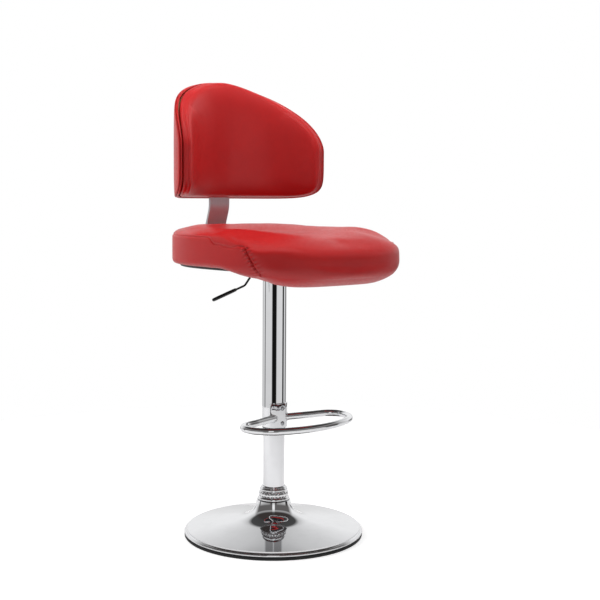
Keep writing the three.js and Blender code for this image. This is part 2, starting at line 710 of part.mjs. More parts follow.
function backScrewPlaces() {
  return BACK_SCREW_HEIGHTS.flatMap((z) => [[-BACK_SCREW_X, z], [BACK_SCREW_X, z]]);
}

function backScrewHoles() {
  return backScrewPlaces().map(([x, z]) => crossRod(2.8, 180, 207.6, x, z));
}

function strap() {
  const outline = new THREE.Shape(thickened(strapLine(), STRAP_THICKNESS));
  const bar = new THREE.ExtrudeGeometry(outline, { depth: STRAP_WIDTH, bevelEnabled: false })
    .translate(0, 0, -STRAP_WIDTH / 2)
    .applyMatrix4(new THREE.Matrix4().makeBasis(
      new THREE.Vector3(0, 1, 0),
      new THREE.Vector3(0, 0, 1),
      new THREE.Vector3(1, 0, 0),
    ));
  const holes = [...boltHoles(strapBoltPlaces()), ...backScrewHoles()];
  add('back_strap', cut(bar, ...holes), 'steel');
  strapBoltPlaces().forEach(([x, y], i) => {
    add(`strap_bolt_${i + 1}`, underBolt(x, y, PLATE_FACE - STRAP_THICKNESS), 'zinc');
  });
  backScrewPlaces().forEach(([x, z], i) => {
    const face = STRAP_UPRIGHT - STRAP_THICKNESS / 2 - GAP;
    const head = crossRod(4.8, face - 2.4, face, x, z);
    const shank = crossRod(2.4, face - 1, 207.2, x, z);
    add(`back_screw_${i + 1}`, join(head, shank), 'zinc');
  });
}

// ---------------------------------------------------------------- backrest

// Places a point of the flat backrest on the wrap, between two radii given by functions.
function backPlacer(near, far) {
  const arch = { reach: TOTAL_HEIGHT - BACK_SHOULDER, power: BACK_ARCH_POWER };
  const foot = { reach: BACK_SHOULDER - BACK_BOTTOM, power: BACK_FOOT_POWER };
  return (part, cosine, sine, level) => {
    const distance = part * lobeRadius(cosine, sine, BACK_HALF_ARC, arch, foot);
    const angle = distance * cosine / BACK_WRAP_RADIUS;
    const radius = near(angle) + level * (far(angle) - near(angle));
    return [radius * Math.sin(angle), radius * Math.cos(angle), BACK_SHOULDER + distance * sine];
  };
}

function backrest() {
  const boardOuter = BACK_BOARD_INNER + BACK_BOARD_THICKNESS;
  const panelInner = boardOuter + GAP;
  const cushionOuter = BACK_BOARD_INNER - GAP;
  const wing = BACK_HALF_ARC / BACK_WRAP_RADIUS;
  const thinning = BACK_CUSHION_THICKNESS - WING_CUSHION_THICKNESS;
  const cushionInner = (angle) => (
    cushionOuter - BACK_CUSHION_THICKNESS + thinning * smooth(Math.abs(angle) / wing)
  );
  const pocket = block(
    -STRAP_WIDTH / 2 - 2, STRAP_WIDTH / 2 + 2,
    STRAP_UPRIGHT - STRAP_THICKNESS / 2 - 3.4, cushionOuter + 4,
    BACK_BOTTOM - 10, STRAP_TOP + 3,
  );
  const section = padSection(BOARD_SHARE);
  const cushionPlacer = backPlacer(constant(cushionOuter), cushionInner);
  add('back_cushion', cut(shaped(section, PAD_FACETS, cushionPlacer), pocket), 'redLeather');
  const boardPlacer = backPlacer(constant(BACK_BOARD_INNER), constant(boardOuter));
  const board = shaped(sheetSection(BOARD_SHARE), PAD_FACETS, boardPlacer);
  add('back_board', cut(board, ...backScrewHoles()), 'plywood');
  const panelOuter = panelInner + BACK_PANEL_THICKNESS;
  const panelPlacer = backPlacer(constant(panelInner), constant(panelOuter));
  add('back_panel', shaped(section.reverse(), PAD_FACETS, panelPlacer), 'redLeather');
}

// ---------------------------------------------------------------- the whole stool

baseDish();
baseRing();
baseFixings();
baseCollar();
columnTubes();
columnBushes();
gasSpring();
gasRod();
thrustBearing();
footrestSaddle();
footrestLoop();
mountPlate();
mountHub();
leverBracket();
lever();
leverGrip();
seat();
strap();
backrest();

export default stool;
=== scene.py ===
"""Adjustable swivel stool: the looks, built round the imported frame. Metres, +Z up, the stool faces -Y."""

import math

import bmesh
import bpy
import numpy as np
from mathutils import Matrix, Vector
from mathutils.kdtree import KDTree

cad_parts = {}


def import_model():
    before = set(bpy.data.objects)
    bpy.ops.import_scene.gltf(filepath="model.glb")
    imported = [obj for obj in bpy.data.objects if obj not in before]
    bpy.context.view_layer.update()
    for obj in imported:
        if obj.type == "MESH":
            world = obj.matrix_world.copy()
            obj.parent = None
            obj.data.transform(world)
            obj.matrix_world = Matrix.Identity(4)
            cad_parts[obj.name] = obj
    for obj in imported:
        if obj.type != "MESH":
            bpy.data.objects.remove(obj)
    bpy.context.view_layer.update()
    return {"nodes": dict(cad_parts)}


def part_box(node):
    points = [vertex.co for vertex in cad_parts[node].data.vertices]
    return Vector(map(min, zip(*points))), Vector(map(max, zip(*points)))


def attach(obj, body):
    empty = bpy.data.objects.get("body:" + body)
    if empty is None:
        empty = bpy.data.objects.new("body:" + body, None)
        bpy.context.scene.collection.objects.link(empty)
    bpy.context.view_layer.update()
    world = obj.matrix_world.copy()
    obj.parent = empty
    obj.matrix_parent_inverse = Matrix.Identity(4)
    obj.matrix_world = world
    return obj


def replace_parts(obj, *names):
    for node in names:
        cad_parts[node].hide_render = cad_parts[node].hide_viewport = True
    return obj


MM = 0.001
TAU = 2 * math.pi

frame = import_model()
NODES = frame["nodes"]

# ---- driving sizes, in millimetres

DISH_RADIUS = 192.5
RING_TOP = 6.6
NECK = (34.0, 76.0)
LOWER_TUBE = 23.0
UPPER_TUBE = 25.5
FOOTREST_HEIGHT = 257.0
FOOTREST_TUBE = 7.5
SADDLE = (25.8, 28.3, 236.0, 289.0)
SADDLE_HALF_ANGLE = math.radians(62)

SEAT_HALF_WIDTH = 215.0
SEAT_CENTRE = 25.0
SEAT_REACH = 215.0
RIM_UNDERSIDE = 585.8
COVER_BOTTOM = 582.5
SEAT_RIDGE = 664.0

BACK_WRAP = 195.0
BACK_HALF_ARC = 245.0
BACK_BOTTOM = 724.0
BACK_SHOULDER = 830.0
BACK_TOP = 980.0
BACK_CUSHION_OUTER = 202.9
BACK_PANEL_INNER = 208.7
BACK_PANEL_OUTER = 213.6


# ---- numbers

def smooth(t):
    t = np.clip(t, 0, 1)
    return t * t * (3 - 2 * t)


def mix(a, b, t):
    return a + (b - a) * t


def bump(x, width):
    return np.exp(-((x / width) ** 2))


# ---- materials

def add_node(tree, kind, *inputs, **settings):
    """A node with its first inputs given in order, each a value, an output to link or None, and its settings
    and other inputs given by name."""
    made = tree.nodes.new(kind)
    for key, value in settings.items():
        if hasattr(made, key):
            setattr(made, key, value)
        else:
            made.inputs[key.replace("_", " ").title()].default_value = value
    for socket, value in zip(made.inputs, inputs):
        if isinstance(value, bpy.types.NodeSocket):
            tree.links.new(value, socket)
        elif value is not None:
            socket.default_value = value
    return made


def blended(tree, factor, first, second, **settings):
    """A colour between two colours, each a tuple or a node's output."""
    inputs = [factor, *[None] * 5, *((*c, 1) if isinstance(c, tuple) else c for c in (first, second))]
    return add_node(tree, "ShaderNodeMix", *inputs, data_type="RGBA", **settings).outputs[2]


class Finish:
    """A material, with short ways to add and join nodes. Textures are measured in metres on the object."""

    def __init__(self, name, color, roughness, metallic=0.0, **sockets):
        self.material = bpy.data.materials.new(name)
        self.material.use_nodes = True
        self.tree = self.material.node_tree
        self.tree.nodes.clear()
        self.shader = self.node("ShaderNodeBsdfPrincipled")
        self.node("ShaderNodeOutputMaterial", self.shader.outputs[0])
        sockets |= {"Base_Color": (*color, 1), "Roughness": roughness, "Metallic": metallic}
        for socket, value in sockets.items():
            self.shader.inputs[socket.replace("_", " ")].default_value = value
        self.place = self.node("ShaderNodeTexCoord").outputs["Object"]

    def node(self, kind, *inputs, **settings):
        return add_node(self.tree, kind, *inputs, **settings)

    def link(self, output, node, socket):
        self.tree.links.new(output, node.inputs[socket])

    def stretched(self, scale):
        """The object's coordinates, scaled by three factors."""
        mapping = self.node("ShaderNodeMapping", self.place)
        mapping.inputs["Scale"].default_value = scale
        return mapping.outputs[0]

    def noise(self, scale, detail=3.0, rough=0.5, vector=None):
        settings = {"scale": scale, "detail": detail, "roughness": rough}
        return self.node("ShaderNodeTexNoise", vector or self.place, **settings).outputs["Fac"]

    def cells(self, scale, feature="DISTANCE_TO_EDGE"):
        return self.node("ShaderNodeTexVoronoi", self.place, feature=feature, scale=scale).outputs["Distance"]

    def ramp(self, value, low, high, to_low=0.0, to_high=1.0):
        numbers = (low, high, to_low, to_high)
        return self.node("ShaderNodeMapRange", value, *numbers, interpolation_type="SMOOTHSTEP").outputs[0]

    def blend(self, factor, first, second):
        return blended(self.tree, factor, first, second)

    def done(self, color, roughness, *reliefs):
        """The material with that colour and roughness. A relief is (height, distance, strength): height from
        0 to 1 stands for that distance in metres."""
        self.link(color, self.shader, "Base Color")
        self.link(roughness, self.shader, "Roughness")
        normal = None
        for height, distance, strength in reliefs:
            made = self.node("ShaderNodeBump", distance=distance, strength=strength)
            self.link(height, made, "Height")
            if normal is not None:
                self.link(normal, made, "Normal")
            normal = made.outputs[0]
        self.link(normal, self.shader, "Normal")
        return self.material


def leather(name, color, dark):
    made = Finish(
        name, color, 0.38, Specular_IOR_Level=0.45, Coat_Weight=0.05, Coat_Roughness=0.25, Sheen_Weight=0.01,
    )
    shade = made.blend(made.ramp(made.noise(7.0, 2.0), 0.3, 0.7), color, dark)
    grain = made.ramp(made.cells(820.0), 0.0, 0.16)
    return made.done(
        made.blend(grain, tuple(0.72 * c for c in dark), shade),
        made.ramp(made.noise(160.0, 4.0), 0.25, 0.75, 0.33, 0.43),
        (made.noise(38.0, 2.0), 0.0006, 0.35),
        (grain, 0.00009, 0.5),
    )


def chrome(name, tint=(0.8, 0.805, 0.82)):
    made = Finish(name, tint, 0.04, 1.0)
    smudge = made.noise(22.0, 5.0, 0.6)
    return made.done(
        made.blend(made.ramp(smudge, 0.35, 0.8), tint, tuple(0.95 * c for c in tint)),
        made.ramp(smudge, 0.4, 0.8, 0.015, 0.045),
        (made.noise(300.0, 1.0), 0.00001, 0.05),
    )


def satin_steel(name, color, scale):
    """Steel brushed along one axis: scale is small along the brushing."""
    made = Finish(name, color, 0.34, 0.75, Anisotropic=0.4)
    line = made.noise(1.0, 3.0, 0.6, made.stretched(scale))
    return made.done(
        made.blend(line, tuple(0.86 * c for c in color), tuple(min(1, 1.1 * c) for c in color)),
        made.ramp(line, 0.2, 0.8, 0.4, 0.55),
        (line, 0.00003, 0.4),
    )


def zinc(name):
    color = (0.55, 0.56, 0.57)
    made = Finish(name, color, 0.4, 1.0)
    return made.done(
        made.blend(made.cells(260.0, "F1"), color, (0.44, 0.45, 0.47)),
        made.ramp(made.noise(150.0), 0.3, 0.7, 0.3, 0.48),
        (made.noise(900.0), 0.00003, 0.4),
    )


def powder_coat(name):
    made = Finish(name, (0.012, 0.012, 0.013), 0.45)
    return made.done(
        made.blend(made.noise(30.0), (0.009, 0.009, 0.01), (0.02, 0.02, 0.021)),
        made.ramp(made.noise(90.0), 0.3, 0.7, 0.36, 0.54),
        (made.noise(1400.0, 2.0), 0.00006, 0.5),
    )


def rubber(name):
    made = Finish(name, (0.014, 0.014, 0.015), 0.8)
    dust = made.ramp(made.noise(45.0, 5.0), 0.5, 0.8)
    return made.done(
        made.blend(dust, (0.011, 0.011, 0.012), (0.035, 0.034, 0.033)),
        made.ramp(dust, 0.0, 1.0, 0.68, 0.88),
        (made.noise(1100.0, 3.0), 0.00008, 0.6),
    )


def moulded(name, color, rough=0.42):
    made = Finish(name, color, rough)
    return made.done(
        made.blend(made.noise(60.0), tuple(0.85 * c for c in color), color),
        made.ramp(made.noise(220.0), 0.3, 0.7, rough - 0.06, rough + 0.08),
        (made.cells(1500.0, "F1"), 0.00006, 0.4),
    )


def plywood(name):
    """Beech plywood: grain on the faces, and plies across the edges."""
    made = Finish(name, (0.5, 0.31, 0.15), 0.6)
    grain = made.noise(1.0, 6.0, 0.65, made.stretched((14, 160, 160)))
    plies = made.node("ShaderNodeTexWave", made.place, scale=190.0, distortion=1.5, bands_direction="Z")
    wood = made.blend(grain, (0.36, 0.2, 0.09), (0.56, 0.36, 0.18))
    return made.done(
        made.blend(made.ramp(plies.outputs["Fac"], 0.35, 0.65), (0.25, 0.14, 0.07), wood),
        made.ramp(grain, 0.2, 0.8, 0.5, 0.72),
        (grain, 0.0001, 0.5),
    )


def spunbond(name):
    """The thin black cloth under a seat: pressed fibres with a grid of small bond points."""
    made = Finish(name, (0.014, 0.014, 0.016), 0.9, Sheen_Weight=0.3, Sheen_Roughness=0.4)
    fibres = made.noise(900.0, 6.0, 0.7)
    return made.done(
        made.blend(fibres, (0.008, 0.008, 0.01), (0.026, 0.026, 0.03)),
        made.ramp(fibres, 0.3, 0.7, 0.82, 0.98),
        (made.cells(560.0, "F1"), 0.00012, 0.5),
        (fibres, 0.0001, 0.5),
    )


RED = (0.57, 0.012, 0.012)
DEEP_RED = (0.5, 0.009, 0.010)
LOOK = {
    "chrome": chrome("polished_chrome"),
    "strap_steel": satin_steel("satin_strap_steel", (0.6, 0.59, 0.62), (900, 60, 60)),
    "zinc": zinc("zinc_plate"),
    "black_steel": powder_coat("black_powder_coat"),
    "rubber": rubber("black_rubber"),
    "black_plastic": moulded("black_plastic", (0.013, 0.013, 0.014)),
    "nylon": moulded("natural_nylon", (0.62, 0.6, 0.53), 0.5),
    "plywood": plywood("beech_plywood"),
    "red_leather": leather("red_leather", RED, DEEP_RED),
    "black_fabric": spunbond("black_spunbond"),
}


# ---- meshes

def new_object(name, data):
    obj = bpy.data.objects.new(name, data)
    bpy.context.scene.collection.objects.link(obj)
    return obj


def mesh_object(name, vertices, faces, slot, angle=40.0):
    """An object of that mesh, in millimetres, with its faces turned out and its creases kept sharp."""
    mesh = bpy.data.meshes.new(name)
    mesh.from_pydata((np.asarray(vertices, float) * MM).tolist(), [], [list(f) for f in faces])
    made = bmesh.new()
    made.from_mesh(mesh)
    bmesh.ops.remove_doubles(made, verts=made.verts, dist=1e-7)
    bmesh.ops.recalc_face_normals(made, faces=made.faces)
    made.to_mesh(mesh)
    made.free()
    mesh.shade_smooth()
    mesh.set_sharp_from_angle(angle=math.radians(angle))
    obj = new_object(name, mesh)
    mesh.materials.append(LOOK[slot])
    return obj


def joined(parts):
    """Several (vertices, faces) as one."""
    vertices, faces, start = [], [], 0
    for some, of in parts:
        some = np.asarray(some, float).reshape(-1, 3)
        vertices.append(some)
        faces += [[i + start for i in f] for f in of]
        start += len(some)
    return np.concatenate(vertices), faces


def grid(rows, close_rows=False, close_columns=False):
    """Vertices and faces of a grid of points: rows[i][j] is a point."""
    points = np.asarray(rows, float)
    high, wide = points.shape[:2]
    faces = []
    for i in range(high - (not close_rows)):
        for j in range(wide - (not close_columns)):
            a, b = i * wide, ((i + 1) % high) * wide
            k = (j + 1) % wide
            faces.append((a + j, a + k, b + k, b + j))
    return points.reshape(-1, 3), faces


def looped(rows):
    """A grid that closes on itself both ways."""
    return grid(rows, close_rows=True, close_columns=True)


def capped(rows):
    """A tube of closed rows, shut at both ends by a fan."""
    vertices, faces = grid(rows, close_columns=True)
    wide = len(rows[0])
    last, hub = (len(rows) - 1) * wide, len(vertices)
    faces += [(hub, (j + 1) % wide, j) for j in range(wide)]
    faces += [(hub + 1, last + j, last + (j + 1) % wide) for j in range(wide)]
    return np.concatenate([vertices, [np.mean(rows[0], 0), np.mean(rows[-1], 0)]]), faces


def turned(profile, facets=128, closed=True):
    """A profile of (radius, height) turned about Z: a ring if closed, or else a solid that meets the axis."""
    angles = np.arange(facets) * TAU / facets
    inner = profile if closed else profile[1:-1]
    rows = [[(r * math.cos(a), r * math.sin(a), z) for a in angles] for r, z in inner]
    if closed:
        return looped(rows)
    vertices, faces = capped(rows)
    vertices[-2:] = [(0, 0, profile[0][1]), (0, 0, profile[-1][1])]
    return vertices, faces


def rounded(points, radius, steps=4):
    """A closed outline of 2D points with its corners rounded; radius is one number, or one for each corner.
    Each round has a short straight step beside it, which keeps the shading of the long straight runs flat."""
    count = len(points)
    radii = [radius] * count if np.isscalar(radius) else radius
    outline = []
    for i in range(count):
        before, corner, after = (np.array(points[(i + k) % count], float) for k in (-1, 0, 1))
        into, out = before - corner, after - corner
        near, far = np.linalg.norm(into), np.linalg.norm(out)
        into, out = into / near, out / far
        half = 0.5 * math.acos(float(np.clip(into @ out, -1, 1)))
        if radii[i] <= 0 or half > 1.55:
            outline.append(tuple(corner))
            continue
        setback = min(radii[i] / math.tan(half), 0.49 * near, 0.49 * far)
        if setback < 0.3 * near:
            outline.append(tuple(corner + into * 1.4 * setback))
        for t in np.linspace(0, 1, steps + 1):
            outline.append(tuple(corner + into * setback * (1 - t) ** 2 + out * setback * t ** 2))
        if setback < 0.3 * far:
            outline.append(tuple(corner + out * 1.4 * setback))
    return outline


def bezier(points, count):
    """Points on the Bezier curve with those controls."""
    controls = [np.array(p, float) for p in points]
    curve = []
    for t in np.linspace(0, 1, count):
        level = controls
        while len(level) > 1:
            level = [mix(a, b, t) for a, b in zip(level, level[1:])]
        curve.append(level[0])
    return curve


def spline(points, per_span, closed=False):
    """Points on a centripetal Catmull-Rom curve through the given ones."""
    given = [np.array(p, float) for p in points]
    ends = [given[-1], *given, given[0], given[1]] if closed else [
        2 * given[0] - given[1], *given, 2 * given[-1] - given[-2]]
    curve = []
    for p0, p1, p2, p3 in zip(ends, ends[1:], ends[2:], ends[3:]):
        t1 = np.linalg.norm(p1 - p0) ** 0.5
        t2 = t1 + np.linalg.norm(p2 - p1) ** 0.5
        t3 = t2 + np.linalg.norm(p3 - p2) ** 0.5
        for t in np.linspace(t1, t2, per_span, endpoint=False):
            a1 = p0 + (p1 - p0) * t / t1
            a2 = p1 + (p2 - p1) * (t - t1) / (t2 - t1)
            a3 = p2 + (p3 - p2) * (t - t2) / (t3 - t2)
            b1 = a1 + (a2 - a1) * t / t2
            b2 = a2 + (a3 - a2) * (t - t1) / (t3 - t1)
            curve.append(b1 + (b2 - b1) * (t - t1) / (t2 - t1))
    if not closed:
        curve.append(given[-1])
    return curve


def bent(points, radius, steps=8):
    """A path of straight runs with its corners rounded."""
    points = [np.array(p, float) for p in points]
    path = points[:1]
    for before, corner, after in zip(points, points[1:], points[2:]):
        into, out = ((p - corner) / np.linalg.norm(p - corner) for p in (before, after))
        half = 0.5 * math.acos(float(np.clip(into @ out, -1, 1)))
        setback = radius / math.tan(half)
        middle = (into + out) / np.linalg.norm(into + out)
        centre = corner + middle * radius / math.sin(half)
        start, end = corner + into * setback - centre, corner + out * setback - centre
        sweep = math.acos(float(np.clip(start @ end / radius ** 2, -1, 1)))
        for t in np.linspace(0, 1, steps + 1):
            turned_way = start * math.sin((1 - t) * sweep) + end * math.sin(t * sweep)
            path.append(centre + turned_way / math.sin(sweep))
    return [*path, points[-1]]


def swept(path, radius, sides=24, closed=False):
    """Rows of a round tube along a path; radius is one number, or one for each point."""
    path = [np.array(p, float) for p in path]
    radii = [radius] * len(path) if np.isscalar(radius) else radius
    ends = [path[-1], *path, path[0]] if closed else [path[0], *path, path[-1]]
    steps = [after - before for before, after in zip(ends, ends[2:])]
    along = [step / np.linalg.norm(step) for step in steps]
    side = np.cross(along[0], (0.0, 0.0, 1.0))
    if np.linalg.norm(side) < 1e-3:
        side = np.cross(along[0], (0.0, 1.0, 0.0))
    rows = []
    for point, forward, r in zip(path, along, radii):
        side = side - forward * (side @ forward)
        side /= np.linalg.norm(side)
        up = np.cross(side, forward)
        rows.append([
            point + r * (math.cos(a) * side + math.sin(a) * up)
            for a in np.arange(sides) * TAU / sides
        ])
    return rows


def headings(line):
    """The direction at each point of a line."""
    steps = np.gradient(line, axis=0)
    return steps / np.linalg.norm(steps, axis=1)[:, None]


def domed_ends(path, radius, steps=5):
    """A path and its radii, with the two ends drawn in like a dome."""
    path = [np.array(p, float) for p in path]
    domes = []
    for end, inner in ((path[0], path[1]), (path[-1], path[-2])):
        out = (end - inner) / np.linalg.norm(end - inner) * radius
        turns = np.arange(1, steps) / steps * math.pi / 2
        tip = [(end + out, 0.02 * radius)]
        domes.append(tip + [(end + out * math.cos(a), radius * math.sin(a)) for a in turns])
    return zip(*domes[0], *[(p, radius) for p in path], *reversed(domes[1]))


def loft_outline(half_x, half_y, corner, z, per_corner=8):
    """One loop of a rounded rectangle, the same number of points whatever its size."""
    loop = []
    for quarter, (sx, sy) in enumerate(((1, 1), (-1, 1), (-1, -1), (1, -1))):
        for k in range(per_corner + 1):
            a = (quarter + k / per_corner) * math.pi / 2
            loop.append((
                sx * (half_x - corner) + corner * math.cos(a),
                sy * (half_y - corner) + corner * math.sin(a), z,
            ))
    return loop


# ---- base

def base():
    lip = RING_TOP + 0.3
    top = [
        *bezier([(186.0, 14.6), (150.0, 20.4), (112.0, 26.1), (82.0, 31.0)], 22)[:-1],
        *bezier([(82.0, 31.0), (54.0, 35.5), (38.0, 48.0), NECK], 34),
    ]
    roll = [(190.0 + 2.5 * math.cos(a), 9.7 + 2.7 * math.sin(a))
            for a in np.linspace(-math.pi / 2, 0.72 * math.pi, 14)]
    roll = [(r, max(z, lip)) for r, z in roll]
    line = np.array([top[-1], *reversed(top)])
    sheet = 2.4
    inside = [(r - sheet * sz, min(z + sheet * sr, NECK[1]))
              for (r, z), (sr, sz) in zip(line[1:], headings(line)[1:])]
    profile = [*roll, (187.0, 13.8), *top, *inside, (186.5, lip)]
    dish = mesh_object("trumpet_dish", *turned(profile, 192), "chrome")
    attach(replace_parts(dish, "base_dish"), "base")

    outer = DISH_RADIUS - 0.3
    profile = rounded([
        (183.5, 0), (outer - 1.6, 0), (outer, 1.6), (outer, RING_TOP - 1.2), (outer - 0.8, RING_TOP),
        (183.5, RING_TOP),
    ], [1, 1, 1.2, 1, 0.5, 0.8])
    ring = mesh_object("floor_ring", *turned(profile, 192), "rubber")
    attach(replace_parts(ring, "base_rubber_ring"), "base")

    bore = LOWER_TUBE + 0.4
    facets, flutes = 288, 24
    outline = [
        (bore, 76.4, 0), (33.4, 76.4, 0), (34.15, 77.6, 0), (34.2, 80.2, 0), (33.6, 82.0, 0), (32.0, 83.2, 0),
        (31.2, 84.2, 0.2), (31.6, 85.8, 0.9), (31.9, 88.4, 1.2), (31.6, 91.2, 1.2), (30.9, 93.6, 0.9),
        (29.4, 95.2, 0.2), (29.5, 96.2, 0), (30.1, 97.4, 0), (30.2, 99.6, 0), (29.6, 101.4, 0),
        (28.2, 102.8, 0), (27.6, 103.6, 0), (27.4, 105.0, 0), (26.6, 105.9, 0), (bore + 0.6, 106.0, 0),
        (bore, 105.4, 0),
    ]
    fine = []
    for (r0, z0, f0), (r1, z1, f1) in zip(outline, outline[1:]):
        fine += [(mix(r0, r1, t), mix(z0, z1, t), mix(f0, f1, t)) for t in (0, 0.5)]
    fine.append(outline[-1])
    around = np.arange(facets) * TAU / facets
    wave = np.abs(np.cos(0.5 * flutes * around)) - 0.6
    rows = [[(reach * math.cos(a), reach * math.sin(a), z) for a, reach in zip(around, r + flute * wave)]
            for r, z, flute in fine]
    collar = mesh_object("fluted_collar", *looped(rows), "chrome")
    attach(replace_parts(collar, "base_collar"), "base")


# ---- column

def column():
    lower = rounded([(21.0, 28.3), (LOWER_TUBE, 28.3), (LOWER_TUBE, 531), (21.0, 531)], 0.6)
    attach(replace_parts(mesh_object("column_lower", *turned(lower), "chrome"), "lower_column_tube"), "base")

    upper = rounded([(24.0, 236), (UPPER_TUBE, 236), (UPPER_TUBE, 550), (24.0, 550)], 0.5)
    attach(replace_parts(mesh_object("column_upper", *turned(upper), "chrome"), "upper_column_tube"), "seat")

    bush = [(23.25, 233.5), (25.3, 233.5), (25.3, 235.7), (23.7, 235.7), (23.7, 262), (23.25, 262)]
    bush = rounded(bush, [0.3, 0.8, 0.3, 0.1, 0.1, 0.1])
    sleeve = mesh_object("mouth_bush", *turned(bush), "black_plastic")
    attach(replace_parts(sleeve, "mouth_guide_bush"), "seat")


# ---- footrest

def footrest():
    inner, outer, bottom, top = SADDLE
    face, longest = outer + 0.05, 12.0
    half = [(17, 19), (75, 33), (113, 42), (131, 62), (130, 91), (107, 122), (60, 143)]
    points = [*half, (0, 151), *[(-x, s) for x, s in reversed(half)]]
    path = spline([(x, -s, FOOTREST_HEIGHT) for x, s in points], 22)
    path = [p for p in path if math.hypot(p[0], p[1]) > outer + 3.15]
    rows = swept(path, FOOTREST_TUBE, 40)
    welds = []
    for row, end, beyond in ((0, path[0], path[1]), (-1, path[-1], path[-2])):
        into = (end - beyond) / np.linalg.norm(end - beyond)
        run = into[:2]
        met = []
        for point in rows[row]:
            b, c = point[:2] @ run, point[:2] @ point[:2] - face ** 2
            under = b * b - (run @ run) * c
            travel = (-b - math.sqrt(under)) / (run @ run) if under > 0 else longest
            met.append(point + into * min(travel, longest))
        welds.append(met)
    rows = [welds[0], *rows, welds[1]]
    ring = mesh_object("footrest_ring", *capped(rows), "chrome", 50)
    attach(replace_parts(ring, "footrest_loop"), "seat")

    beads = []
    for met in welds:
        loop = spline(met[::2], 5, closed=True)
        swell = [1.5 + 0.28 * math.sin(TAU * 17 * i / len(loop)) for i in range(len(loop))]
        beads.append(looped(swept(loop, swell, 10, closed=True)))
    weld = mesh_object("footrest_welds", *joined(beads), "chrome", 80)
    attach(weld, "seat")

    corner, thick, gap = 5.0, outer - inner, 0.1
    rows = []
    for t in np.linspace(-1, 1, 49):
        angle = t * SADDLE_HALF_ANGLE
        from_end = (1 - abs(t)) * SADDLE_HALF_ANGLE * outer
        cut = corner - math.sqrt(max(0.0, corner ** 2 - max(0.0, corner - from_end) ** 2))
        half = (top - bottom) / 2 - cut
        profile = rounded([(0, -half), (thick, -half), (thick, half), (0, half)], [0.25, 0.7, 0.7, 0.25], 3)
        thin = 1.0 if 0 < abs(t) < 1 else 0.86
        reach = [inner + gap + r * thin for r, _ in profile]
        rows.append([(r * math.sin(angle), -r * math.cos(angle), (top + bottom) / 2 + z)
                     for r, (_, z) in zip(reach, profile)])
    saddle = mesh_object("footrest_saddle_plate", *capped(rows), "chrome", 50)
    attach(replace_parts(saddle, "footrest_saddle"), "seat")

    for index, z in enumerate((246.0, 278.0)):
        head = [
            (0, 0), (4.5, 0), (4.6, 0.5), (4.2, 1.4), (3.2, 2.1), (2.3, 2.4), (2.2, 2.4), (2.1, 1.1), (0, 1.0),
        ]
        vertices, faces = turned(head, 48, closed=False)
        x, y, out = vertices.T
        placed = np.stack([x, -(outer + 0.15) - out, z + y], 1)
        screw = mesh_object(f"saddle_screw_{index + 1}", placed, faces, "zinc", 30)
        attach(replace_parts(screw, f"footrest_screw_{index + 1}"), "seat")


# ---- under the seat

def hex_bolt(radius, height, washer, lift):
    """A hexagon head with a chamfer, hanging below z = 0 on a washer of that radius and thickness (lift)."""
    around = np.arange(48) * TAU / 48
    flat = math.cos(math.pi / 6) / np.cos(around % (TAU / 6) - math.pi / 6)
    rows = [[(reach * math.cos(a), reach * math.sin(a), z - lift)
             for a, reach in zip(around, radius * np.minimum(flat, limit))]
            for z, limit in ((0.0, 1.0), (0.9 - height, 1.0), (-height, 0.86))]
    bore = 2.6
    ring = rounded([(bore, -lift), (washer, -lift), (washer, 0), (bore, 0)], 0.25)
    return joined([capped(rows), turned(ring, 48)])


def bolts():
    plate, strap_face, sink = 579.7, 576.2, 0.15
    places = [(f"seat_bolt_{i + 1}", 64 * sx, 61 * sy, plate)
              for i, (sx, sy) in enumerate(((1, 1), (-1, 1), (-1, -1), (1, -1)))]
    places += [(f"strap_bolt_{i + 1}", x, y, strap_face)
               for i, (x, y) in enumerate(((14, 118), (-14, 118), (0, 160)))]
    vertices, faces = hex_bolt(radius=5.8, height=3.7, washer=7.4, lift=0.9)
    for name, x, y, face in places:
        made = mesh_object(name + "_head", vertices + (x, y, face - sink), faces, "zinc", 30)
        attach(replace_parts(made, name), "seat")


def mount_plate():
    low, high = (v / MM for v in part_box("seat_mount_plate"))
    half_x, half_y, top = high
    floor, sheet = low.z, 2.5
    loops = [
        (half_x, half_y, 14, top), (half_x, half_y, 14, top - sheet + 0.4),
        (half_x - 0.4, half_y - 0.4, 13.6, top - sheet), (46, 42, 11, top - sheet),
        (42.8, 38.8, 9, top - 3.4), (41, 37, 8, top - 6), (40.2, 36.2, 7.2, floor + 7),
        (40, 36, 7, floor + 3.5),
        (39, 35, 6.5, floor + 1.2), (37, 33, 6, floor + 0.2), (35, 31, 6, floor), (26, 26, 25.9, floor),
        (20.5, 20.5, 20.4, floor), (20.5, 20.5, 20.4, floor + sheet), (26, 26, 25.9, floor + sheet),
        (34, 30, 5, floor + sheet), (36.6, 32.6, 5, floor + 4), (37.4, 33.4, 4.8, floor + 7),
        (38.5, 34.5, 6, top - 5.5), (41, 37, 8, top - 1), (46, 42, 11, top),
    ]
    plate = mesh_object("pressed_plate", *looped([loft_outline(*loop) for loop in loops]), "black_steel", 35)
    slot = loft_outline(5.2, 7.0, 5.1, 0.0)
    turned_slot = [[(x, point[1], 573.2 + point[0]) for point in slot] for x in (-46.0, -32.0)]
    cutter = mesh_object("slot_cutter", *capped(turned_slot), "black_steel", 35)
    modifier = plate.modifiers.new("slot", "BOOLEAN")
    modifier.operation, modifier.solver, modifier.object = "DIFFERENCE", "EXACT", cutter
    apply_modifiers(plate)
    bpy.data.objects.remove(cutter)
    plate.data.set_sharp_from_angle(angle=math.radians(35))
    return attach(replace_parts(plate, "seat_mount_plate"), "seat")


